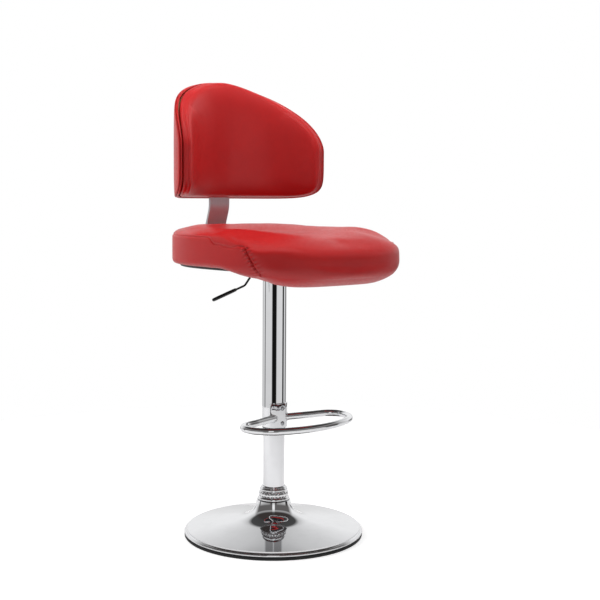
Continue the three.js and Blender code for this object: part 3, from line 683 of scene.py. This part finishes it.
def lever():
    height, pivot = 573.0, -29.8
    start, end = np.array((-105.0, 0, 536)), np.array((-165.0, 0, 517))
    path = bent([(6, 0, height), (-56, 0, height), (-81, 0, 543.5), tuple(mix(end, start, 0.08))], 14)
    line, radii = domed_ends(path, 2.2)
    boss = rounded([(2.25, -8), (4.4, -8), (4.4, 8), (2.25, 8)], 0.5)
    ring, ring_faces = turned(boss, 40)
    x, y, z = ring.T
    ring = np.stack([x + pivot, z, y + height], 1)
    rod = capped(swept(line, radii, 20))
    bar = mesh_object("lever_bar", *joined([rod, (ring, ring_faces)]), "black_steel")
    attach(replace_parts(bar, "lever_rod"), "lever")

    length = np.linalg.norm(end - start)
    along = (end - start) / length
    profile = [
        (2.5, 0.6), (2.8, 0.0), (3.2, 0.3), (3.4, 1.2), (3.4, 2.4), (3.0, 3.0), (3.0, 3.8), (3.45, 4.6),
        (3.58, 8), (3.6, 20), (3.6, 40), (3.58, 54), (3.4, 59), (3.0, 61.4), (2.0, 62.6),
        (0.8, length - 0.05),
    ]
    side = np.array((0.0, 1.0, 0.0))
    up = np.cross(along, side)
    sides = 40
    rows = [[
        start + along * d + r * math.cos(a) * up + r * math.sin(a) * side
        for a in np.arange(sides) * TAU / sides
    ] for r, d in profile]
    grip = mesh_object("lever_handle", *capped(rows), "black_plastic")
    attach(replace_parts(grip, "lever_grip"), "lever")


def strap():
    level, bend, upright, knee_z, top = 579.2, 28.0, 195.5, 703.0, 826.0
    corner = 230 + 7.4
    lean = math.atan2(corner - upright, knee_z - level)
    start = corner - bend * math.tan((math.pi / 2 + lean) / 2)
    line = [(98.0, level), (0.5 * (98 + start), level)]
    line += [(start + bend * math.cos(a), level + bend + bend * math.sin(a))
             for a in np.linspace(-math.pi / 2, lean, 25)]
    line += [tuple(p) for p in bezier([
        (upright + 12 * math.tan(lean), knee_z - 12), (upright, knee_z), (upright, knee_z + 12)], 9)]
    line += [(upright, 0.5 * (knee_z + top)), (upright, top)]
    section = rounded([(-27, -3), (27, -3), (27, 3), (-27, 3)], 1.1, 4)
    rows = [[(x, y - wz * t, z + wy * t) for x, t in section]
            for (y, z), (wy, wz) in zip(line, headings(line))]
    made = mesh_object("back_strap_bar", *capped(rows), "strap_steel", 50)
    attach(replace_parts(made, "back_strap"), "seat")


# ---- padded forms

class Pad:
    """A crowned closed form. Its outline is a lobe about a centre; a section runs over the rim from one face to
    the other. A point is named by its direction, an angle about the centre, and by its distance from the rim
    along the section of one face. place(angle, share, level) gives the point in millimetres: share is the part
    of the outline's radius, and level runs from -1 on the back face through 0 at the rim to 1 on the front."""

    SAMPLES = 160

    def __init__(self, place, front_power, back_power, cells, rows_up, rows_down):
        self.place, self.front_power, self.back_power = place, front_power, back_power
        self.cells, self.rows_up, self.rows_down = cells, rows_up, rows_down

    def section(self, angle, side):
        """Samples of one face's section from the rim to the middle, and their distance from the rim."""
        power = self.front_power(angle) if side > 0 else self.back_power(angle)
        turn = np.linspace(0, 1, self.SAMPLES)[None, :] ** 1.6 * math.pi / 2
        share = np.cos(turn) ** (2 / power[:, None])
        level = np.sin(turn) ** (2 / power[:, None])
        share[:, -1] = 0
        points = self.place(angle[:, None], share, side * level)
        steps = np.linalg.norm(np.diff(points, axis=1), axis=2)
        length = np.concatenate([np.zeros((len(angle), 1)), np.cumsum(steps, 1)], 1)
        return points, length

    def at(self, angle, distance, side, onward=0.0):
        """Points at distances from the rim, moved onward by a share of the way left to the face's middle."""
        points, length = self.section(angle, side)
        distance = distance + (length[:, -1] - distance) * onward
        found = np.empty((len(angle), 3))
        for i in range(len(angle)):
            for k in range(3):
                found[i, k] = np.interp(distance[i], length[i], points[i, :, k])
        return found


def even(value):
    """The same value all the way round."""
    return lambda angle: np.full_like(angle, value)


def clustered(count, width):
    """Shares from 0 to 1 whose first and last steps are short, for the rows beside a seam."""
    short = np.array([1.3, 1.5, 2.2, 3.4, 4.6]) / width
    inner = count - 2 * len(short)
    steps = np.concatenate([short, np.full(inner, (1 - 2 * short.sum()) / inner), short[::-1]])
    return np.concatenate([[0], np.cumsum(steps)]) / steps.sum()


def build_pad(pad, corners, edge_up, edge_down, seam_sides, shear=None):
    """A closed mesh of six quad patches: two faces and four rim bands.

    corners: four rising angles where the rim bands meet. edge_up and edge_down: the distance of each face's
    edge line from the rim as a function of angle. shear(angle, height) turns the band's columns, with height
    from 0 at the back face's edge to 1 at the front face's. Returns the vertices, the faces, the seam round
    the front face on seam_sides (0..3), the upright seams where it ends, and the back face's vertices."""
    shear = shear or (lambda angle, height: angle)
    n = pad.cells
    share = clustered(n, 430.0)
    turns = [*corners, corners[0] + TAU]
    rings = np.concatenate([mix(a, b, share)[:-1] for a, b in zip(turns, turns[1:])])
    up, down = edge_up(shear(rings, 1.0)), edge_down(rings)

    vertices, faces = [], []

    def add(points):
        """Adds the points to the vertices and gives their numbers."""
        vertices.extend(points)
        return list(range(len(vertices) - len(points), len(vertices)))

    total = len(rings)
    band = [add(pad.at(shear(rings, 1 - 0.5 * t), up * (1 - t), 1)) for t in clustered_band(pad.rows_up)]
    band += [add(pad.at(shear(rings, 0.5 - 0.5 * t), down * t, -1)) for t in clustered_band(pad.rows_down)[1:]]
    for above, below in zip(band, band[1:]):
        for i in range(total):
            k = (i + 1) % total
            faces.append((above[i], above[k], below[k], below[i]))

    for side, edge, loop in ((1, up, band[0]), (-1, down, band[-1])):
        index = np.full((n + 1, n + 1), -1)
        walk = [(0, i) for i in range(n)] + [(i, n) for i in range(n)]
        walk += [(n, n - i) for i in range(n)] + [(n - i, 0) for i in range(n)]
        for place, number in zip(walk, loop):
            index[place] = number
        face_angle = shear(rings, 1.0 if side > 0 else 0.0)
        ring_angle = np.concatenate([face_angle, [face_angle[0] + TAU]])
        ring_edge = np.concatenate([edge, [edge[0]]])
        line = 2 * share - 1
        spots = [(a, b) for a in range(1, n) for b in range(1, n)]
        where, deep = [], []
        for a, b in spots:
            reach = max(abs(line[a]), abs(line[b]))
            u, v = (line[a] / reach, line[b] / reach) if reach > 1e-9 else (-1, -1)
            quarter = [u == -1, v == 1, u == 1, True].index(True)
            along = ((v, u, -v, -u)[quarter] + 1) / 2
            where.append(np.interp(along, share, np.arange(n + 1)) + quarter * n)
            deep.append(1 - reach)
        where, deep = np.array(where), np.array(deep)
        turn = np.interp(where, np.arange(total + 1), ring_angle)
        start = np.interp(where, np.arange(total + 1), ring_edge)
        inner = add(pad.at(turn, start, side, deep))
        for place, number in zip(spots, inner):
            index[place] = number
        for a in range(n):
            for b in range(n):
                quad = (index[a, b], index[a, b + 1], index[a + 1, b + 1], index[a + 1, b])
                faces.append(quad if side > 0 else quad[::-1])
    seam = [band[0][(k * n + i) % total] for k in range(4) if k in seam_sides for i in range(n + 1)]
    ends = [[row[k * n] for row in band] for k in range(4)
            if (k in seam_sides) != ((k - 1) % 4 in seam_sides)]
    return np.array(vertices), faces, seam, ends, inner + band[-1]


def clustered_band(count):
    """Shares from 0 at the seam to 1: the first steps are short."""
    t = np.linspace(0, 1, count + 1)
    return 0.55 * t + 0.45 * t ** 2


def lobe_radius(angle, half_width, front, back):
    """Distance from the centre to the outline; front and back are (reach, power) of the two halves."""
    cosine, sine = np.cos(angle), np.sin(angle)
    reach = np.where(sine >= 0, front[0], back[0])
    power = np.where(sine >= 0, front[1], back[1])
    return ((np.abs(cosine) / half_width) ** power + (np.abs(sine) / reach) ** power) ** (-1 / power)


def vectors(items, field="co"):
    """That field of a mesh's items, one row for each."""
    found = np.zeros(len(items) * 3)
    items.foreach_get(field, found)
    return found.reshape(-1, 3)


def skin(obj):
    """The points of an object's mesh, in millimetres, and its normals there."""
    return vectors(obj.data.vertices) / MM, vectors(obj.data.vertex_normals, "vector")


def apply_modifiers(obj):
    made = bpy.data.meshes.new_from_object(obj.evaluated_get(bpy.context.evaluated_depsgraph_get()))
    obj.modifiers.clear()
    old, obj.data = obj.data, made
    bpy.data.meshes.remove(old)
    made.shade_smooth()


def simulate(obj, pinned, pressure, cap, calm, frames=20):
    """Blows the piece up a little as cloth, with some vertices held. No vertex moves further than cap, and the
    moves are averaged with their neighbours calm times, which takes the small creases out."""
    mesh = obj.data
    group = obj.vertex_groups.new(name="held")
    for index, weight in enumerate(pinned):
        if weight > 0:
            group.add([index], float(weight), "REPLACE")
    start = vectors(mesh.vertices)
    modifier = obj.modifiers.new("Cloth", "CLOTH")
    cloth = modifier.settings
    for setting, value in dict(
        quality=6, mass=0.25, tension_stiffness=18, compression_stiffness=18, shear_stiffness=6,
        bending_stiffness=0.6, use_pressure=True, uniform_pressure_force=pressure, vertex_group_mass="held",
    ).items():
        setattr(cloth, setting, value)
    cloth.effector_weights.gravity = 0
    modifier.collision_settings.use_collision = False
    scene = bpy.context.scene
    scene.frame_start, scene.frame_end = 1, frames
    modifier.point_cache.frame_start, modifier.point_cache.frame_end = 1, frames
    for number in range(1, frames + 1):
        scene.frame_set(number)
    shaped = obj.evaluated_get(bpy.context.evaluated_depsgraph_get())
    moved = vectors(shaped.data.vertices) - start
    far = np.linalg.norm(moved, axis=1)
    cap = cap * MM
    moved *= (cap * np.tanh(far / cap) / np.maximum(far, 1e-9))[:, None]
    edges = np.zeros(len(mesh.edges) * 2, int)
    mesh.edges.foreach_get("vertices", edges)
    first, second = edges.reshape(-1, 2).T
    degree = np.bincount(edges, minlength=len(moved))[:, None]
    for _ in range(calm):
        around = np.zeros_like(moved)
        np.add.at(around, first, moved[second])
        np.add.at(around, second, moved[first])
        moved = 0.5 * moved + 0.5 * around / degree
    obj.modifiers.remove(modifier)
    obj.vertex_groups.clear()
    mesh.vertices.foreach_set("co", (start + moved).ravel())
    mesh.update()
    scene.frame_set(1)


def subdivide(obj, levels=1):
    modifier = obj.modifiers.new("finer", "SUBSURF")
    modifier.levels = modifier.render_levels = levels
    apply_modifiers(obj)


def move(obj, points):
    obj.data.vertices.foreach_set("co", (points * MM).ravel())
    obj.data.update()


def nearest(points, line, limit):
    """Each point's distance from a polyline, and how far along the line its nearest place is, in millimetres.
    Points outside the line's box by more than the limit count as far away."""
    line = np.asarray(line, float)
    lengths = np.linalg.norm(np.diff(line, axis=0), axis=1)
    run = np.append(0, np.cumsum(lengths))
    counts = np.maximum(1, (lengths / 0.7).astype(int))
    marks = np.concatenate([a + b * np.arange(n) / n for a, b, n in zip(run, lengths, counts)] + [run[-1:]])
    dense = np.stack([np.interp(marks, run, line[:, k]) for k in range(3)], 1)
    tree = KDTree(len(dense))
    for i, p in enumerate(dense):
        tree.insert(p, i)
    tree.balance()
    distance, along = np.full(len(points), 1e9), np.zeros(len(points))
    close = ((points > line.min(0) - limit) & (points < line.max(0) + limit)).all(1)
    for i in np.nonzero(close)[0]:
        _, j, distance[i] = tree.find(points[i])
        along[i] = marks[j]
    return distance, along


# ---- seat

def seat_top(x, forward):
    dish = 20 * np.exp(-((x / 115) ** 2) - ((forward - 25) / 120) ** 2)
    rise = 5 * smooth((-forward - 40) / 130)
    fall = 16 * smooth((forward - 60) / 170)
    return SEAT_RIDGE + rise - dish - fall


def seat_place(angle, share, level):
    """The cover of the seat. Its rim hangs round the board, and in front it wraps under the board's edge."""
    radius = share * lobe_radius(angle, SEAT_HALF_WIDTH + 2, (SEAT_REACH + 2, 3.2), (SEAT_REACH + 1, 2.5))
    x = radius * np.cos(angle)
    forward = SEAT_CENTRE + radius * np.sin(angle)
    top = seat_top(x, forward)
    at_rim = forward / np.maximum(share, 0.05)
    rim_low = RIM_UNDERSIDE - 49 * smooth((at_rim - 76) / 172)
    front = smooth((np.sin(angle) - 0.35) / 0.4)
    middle = mix(rim_low, top, mix(0.42, 0.54, front))
    turn_in = mix(0.945, 0.80, front)
    inner = smooth((turn_in - share) / mix(0.012, 0.07, front))
    low = mix(rim_low, RIM_UNDERSIDE, inner)
    z = np.where(level >= 0, middle + level * (top - middle), middle + level * (middle - low))
    x, forward, z = np.broadcast_arrays(x, forward, z)
    return np.stack([x, -forward, z], -1)


def seat():
    def frontness(angle):
        return smooth((np.sin(angle) - 0.25) / 0.38)

    def up_power(angle):
        centre = smooth((np.sin(angle) - 0.72) / 0.25)
        return mix(8.0, 4.3 - 1.0 * centre, frontness(angle))

    def down_power(angle):
        return mix(12.0, 2.9, frontness(angle))

    pad = Pad(seat_place, up_power, down_power, cells=72, rows_up=10, rows_down=9)
    corner = math.radians(39.5)
    corners = [corner, math.pi - corner, math.radians(225), math.radians(315)]

    def shear(angle, height):
        """The corner seams lean: their upper ends lie further back."""
        near = [bump((angle - middle + math.pi) % TAU - math.pi, math.radians(26)) for middle in corners[:2]]
        return angle + math.radians(8.0) * height * (near[1] - near[0])

    def edge_up(angle):
        """The seam runs along the top edge, steps down, and climbs again to the front corner."""
        ahead = np.degrees(np.arcsin(np.clip(np.sin(angle), -1, 1)))
        return 30 - 13 * smooth((ahead - 7) / 6) + 9 * smooth((ahead - 22) / 9)

    vertices, faces, seam, ends, under = build_pad(pad, corners, edge_up, even(30.0), (1, 2, 3), shear)
    cover = mesh_object("seat_cover", vertices, faces, "red_leather", 180)
    held = np.zeros(len(vertices))
    held[under] = 1
    for line in (seam, *ends):
        distance, _ = nearest(vertices, vertices[line], 30)
        held = np.maximum(held, 0.95 * (distance < 2.0))
    simulate(cover, held, pressure=3.0, cap=4.0, calm=6)
    shape, _ = skin(cover)
    subdivide(cover)
    points, out = skin(cover)
    groove, pucker = 2.0, 8.0
    distance, _ = nearest(points, shape[seam], 12)
    push = -1.9 * bump(distance, groove)
    for end in ends:
        distance, along = nearest(points, shape[end], 22)
        line = bump(distance, groove)
        push -= 3.0 * line + 2.3 * np.cos(along * TAU / pucker) * bump(distance, pucker) * (1 - line)
    move(cover, points + out * push[:, None])
    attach(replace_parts(cover, "seat_cushion"), "seat")


def dust_cover():
    """Black cloth stapled under the board and round its edge."""
    count, inner_shares = 144, (0.3, 0.6, 0.85)
    angles = np.arange(count) * TAU / count
    radius = lobe_radius(angles, SEAT_HALF_WIDTH, (SEAT_REACH, 3.2), (SEAT_REACH, 2.5))

    def loop(share, z):
        x = share * radius * np.cos(angles)
        forward = SEAT_CENTRE + share * radius * np.sin(angles)
        return np.stack([x, -forward, np.full_like(x, z)], 1)

    low, high = COVER_BOTTOM, COVER_BOTTOM + 0.9
    rows = [loop(share, low) for share in (*inner_shares, 0.915)]
    rows += [loop(0.93, low + 1.0), loop(0.9385, low + 3.4), loop(0.941, low + 7), loop(0.939, 592.8)]
    rows += [loop(0.9355, 592.8), loop(0.9345, low + 7), loop(0.9335, low + 3.6), loop(0.915, high)]
    rows += [loop(share, high) for share in reversed(inner_shares)]
    made = mesh_object("under_cover", *capped(rows), "black_fabric", 60)
    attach(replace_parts(made, "dust_cover"), "seat")


# ---- backrest

def back_point(angle, share, radius_at):
    """A point of the flat backrest wrapped round the column's axis."""
    reach = share * lobe_radius(
        angle, BACK_HALF_ARC, (BACK_TOP - BACK_SHOULDER, 1.7), (BACK_SHOULDER - BACK_BOTTOM, 7.0)
    )
    turn = reach * np.cos(angle) / BACK_WRAP
    radius = radius_at(turn)
    x, y, z = np.broadcast_arrays(
        radius * np.sin(turn), radius * np.cos(turn), BACK_SHOULDER + reach * np.sin(angle)
    )
    return np.stack([x, y, z], -1)


def cushion_place(angle, share, level):
    def radius_at(turn):
        thick = mix(43.0, 27.0, smooth(np.abs(turn) / (BACK_HALF_ARC / BACK_WRAP)))
        return BACK_CUSHION_OUTER - 0.42 * thick - level * np.where(level >= 0, 0.58, 0.42) * thick
    return back_point(angle, share * 0.994, radius_at)


def panel_place(angle, share, level):
    def radius_at(turn):
        middle = 0.5 * (BACK_PANEL_INNER + BACK_PANEL_OUTER) - 1.2
        face = np.where(level >= 0, middle - BACK_PANEL_INNER, BACK_PANEL_OUTER - middle)
        return middle - level * face + 0 * turn
    return back_point(angle, share * 0.996, radius_at)


def backrest():
    pad = Pad(cushion_place, even(5.0), even(9.0), cells=72, rows_up=7, rows_down=6)
    corners = [math.radians(28), math.radians(152), math.radians(205), math.radians(335)]
    vertices, faces, *_ = build_pad(pad, corners, even(13.0), even(12.0), ())
    cushion = mesh_object("back_pad", vertices, faces, "red_leather", 180)
    radius = np.hypot(vertices[:, 0], vertices[:, 1])
    held = (radius > BACK_CUSHION_OUTER - 2.5).astype(float)
    simulate(cushion, held, pressure=3.0, cap=4.0, calm=40)
    subdivide(cushion)
    points, out = skin(cushion)
    distance, _ = nearest(points, cushion_place(np.linspace(0, TAU, 720), 1.0, np.zeros(720)), 12)
    move(cushion, points - out * (1.3 * bump(distance, 1.8))[:, None])
    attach(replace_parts(cushion, "back_cushion"), "seat")

    pad = Pad(panel_place, even(9.0), even(4.0), cells=60, rows_up=3, rows_down=4)
    vertices, faces, *_ = build_pad(pad, corners, even(3.0), even(5.0), ())
    panel = mesh_object("back_shell", vertices, faces, "red_leather", 180)
    subdivide(panel)
    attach(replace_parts(panel, "back_panel"), "seat")

    line = back_point(
        np.linspace(0, TAU, 480, endpoint=False), 0.982,
        lambda turn: np.full_like(turn, 0.5 * (BACK_CUSHION_OUTER + BACK_PANEL_INNER)),
    )
    piping = mesh_object("back_piping", *looped(swept(line, 2.7, 12, closed=True)), "red_leather")
    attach(piping, "seat")


# ---- frame nodes that stay

def finish_nodes():
    """Each CAD node that stays takes its slot's finish."""
    for obj in NODES.values():
        slot = obj.data.materials[0].name.split(".")[0]
        obj.data.materials.clear()
        obj.data.materials.append(LOOK[slot])


# ---- studio

CAMERA_TURN = math.radians(-40)
TO_CAMERA = (math.sin(CAMERA_TURN), -math.cos(CAMERA_TURN))


def camera():
    data = bpy.data.cameras.new("camera")
    data.lens, data.sensor_width = 67.72, 36.0
    obj = new_object("camera", data)
    obj.location = (2.4 * TO_CAMERA[0], 2.4 * TO_CAMERA[1], 0.7282)
    ahead = Vector((-TO_CAMERA[0], -TO_CAMERA[1], 0))
    right = Vector((-TO_CAMERA[1], TO_CAMERA[0], 0))
    yaw, pitch, roll = (math.radians(v) for v in (1.295, 5.22, 0.4))
    look = (ahead * math.cos(yaw) + right * math.sin(yaw)) * math.cos(pitch) - Vector((0, 0, math.sin(pitch)))
    aim = look.to_track_quat("-Z", "Y").to_matrix()
    obj.rotation_euler = (aim @ Matrix.Rotation(roll, 3, "Z")).to_euler()
    bpy.context.scene.camera = obj


def floor():
    disc = turned([(0, -6), (1500, -6), (1500, -0.05), (0, -0.05)], 96, closed=False)
    made = mesh_object("floor", *disc, "rubber", 30)
    paper = Finish("pale_floor", (0.8, 0.8, 0.805), 0.7, Specular_IOR_Level=0.15)
    paper.link(paper.ramp(paper.noise(30.0), 0.3, 0.7, 0.66, 0.74), paper.shader, "Roughness")
    seen = paper.node("ShaderNodeLightPath").outputs["Is Camera Ray"]
    paper.shader.inputs["Emission Color"].default_value = (1, 1, 1, 1)
    paper.link(paper.ramp(seen, 0.0, 1.0, 0.25, 0.6), paper.shader, "Emission Strength")
    made.data.materials.clear()
    made.data.materials.append(paper.material)


def area_light(name, turn, rise, distance, size, power):
    """A soft box at an angle to the camera's direction, aimed at the middle of the stool."""
    data = bpy.data.lights.new(name, "AREA")
    data.shape, data.size, data.size_y, data.energy = "RECTANGLE", size[0], size[1], power
    obj = new_object(name, data)
    angle = CAMERA_TURN + math.radians(turn)
    flat, up = distance * math.cos(math.radians(rise)), distance * math.sin(math.radians(rise))
    aim = Vector((0, 0, 0.5))
    obj.location = aim + Vector((flat * math.sin(angle), -flat * math.cos(angle), up))
    obj.rotation_euler = (aim - obj.location).to_track_quat("-Z", "Y").to_euler()
    obj.visible_camera = obj.visible_glossy = False


def world():
    """A white studio: pale walls with narrow dark gaps low down, a dark ceiling, and a dark side behind the
    camera that one bright strip crosses. Seen directly it is plain white."""
    made = bpy.data.worlds.new("studio")
    bpy.context.scene.world = made
    made.use_nodes = True
    tree = made.node_tree
    tree.nodes.clear()

    def node(kind, *inputs, **settings):
        return add_node(tree, kind, *inputs, **settings)

    def stops(value, end, marks):
        """Brightness marks given in degrees, from -end to end."""
        span = node("ShaderNodeMapRange", value, math.radians(-end), math.radians(end))
        ramp = node("ShaderNodeValToRGB", span.outputs[0])
        ramp.color_ramp.interpolation = "LINEAR"
        while len(ramp.color_ramp.elements) < len(marks):
            ramp.color_ramp.elements.new(0.5)
        for element, (degrees, color) in zip(ramp.color_ramp.elements, marks):
            element.position = (degrees + end) / (2 * end)
            element.color = (color, color, color, 1)
        return ramp.outputs[0]

    way = node("ShaderNodeTexCoord").outputs["Generated"]
    turn = node("ShaderNodeVectorRotate", way, rotation_type="Z_AXIS")
    turn.inputs["Angle"].default_value = -CAMERA_TURN
    x, y, z = node("ShaderNodeSeparateXYZ", turn.outputs[0]).outputs
    back_y = node("ShaderNodeMath", y, -1.0, operation="MULTIPLY").outputs[0]
    around = node("ShaderNodeMath", x, back_y, operation="ARCTAN2").outputs[0]
    rise = node("ShaderNodeMath", z, operation="ARCSINE").outputs[0]

    wall = stops(rise, 90, [
        (-90, 0.7), (-12, 0.78), (0, 0.9), (12, 0.97), (20, 0.98), (27, 0.82), (34, 0.63), (37, 0.35),
        (41, 0.07), (90, 0.04),
    ])
    round_about = stops(around, 180, [
        (-180, 0.8), (-152, 0.95), (-146, 0.2), (-136, 0.9), (-107, 0.95), (-103, 0.05), (-97, 0.05),
        (-93, 0.95),
        (-26, 0.95), (-19, 0.01), (18, 0.01), (24, 0.95), (82, 1.0), (86, 0.02), (102, 0.02), (106, 0.95),
        (124, 0.9), (129, 0.1), (144, 0.1), (150, 0.85),
    ])
    open_front = stops(around, 180, [
        (-180, 1.0), (-128, 1.0), (-100, 0.0), (-9, 0.0), (-7, 1.0), (7, 1.0), (9, 0.0), (100, 0.0),
        (128, 1.0),
    ])
    high = stops(rise, 90, [(-90, 0.0), (-2, 0.0), (8, 1.0)])
    below = stops(rise, 90, [(-90, 0.1), (26, 0.1), (31, 0.55), (37, 0.45), (42, 0.0)])
    lit = node("ShaderNodeMath", open_front, below, operation="MAXIMUM").outputs[0]
    low = blended(tree, 1.0, wall, round_about, blend_type="MULTIPLY")
    upper = blended(tree, lit, (0.05, 0.042, 0.04), wall)
    reflected = node("ShaderNodeBackground", blended(tree, high, low, upper), 1.0)
    plain = node("ShaderNodeBackground", (1, 1, 1, 1), 1.0)
    seen = node("ShaderNodeLightPath").outputs["Is Camera Ray"]
    both = node("ShaderNodeMixShader", seen, reflected.outputs[0], plain.outputs[0])
    node("ShaderNodeOutputWorld", both.outputs[0])


def studio():
    world()
    floor()
    area_light("key", -85, 34, 2.4, (1.6, 1.6), 34)
    area_light("fill", 70, 50, 2.6, (1.4, 1.6), 11)
    area_light("top", 60, 84, 1.4, (0.9, 0.9), 16)
    scene = bpy.context.scene
    scene.view_settings.view_transform = "Standard"
    scene.view_settings.look = "None"


camera()
studio()
base()
column()
footrest()
mount_plate()
bolts()
lever()
strap()
seat()
dust_cover()
backrest()
finish_nodes()
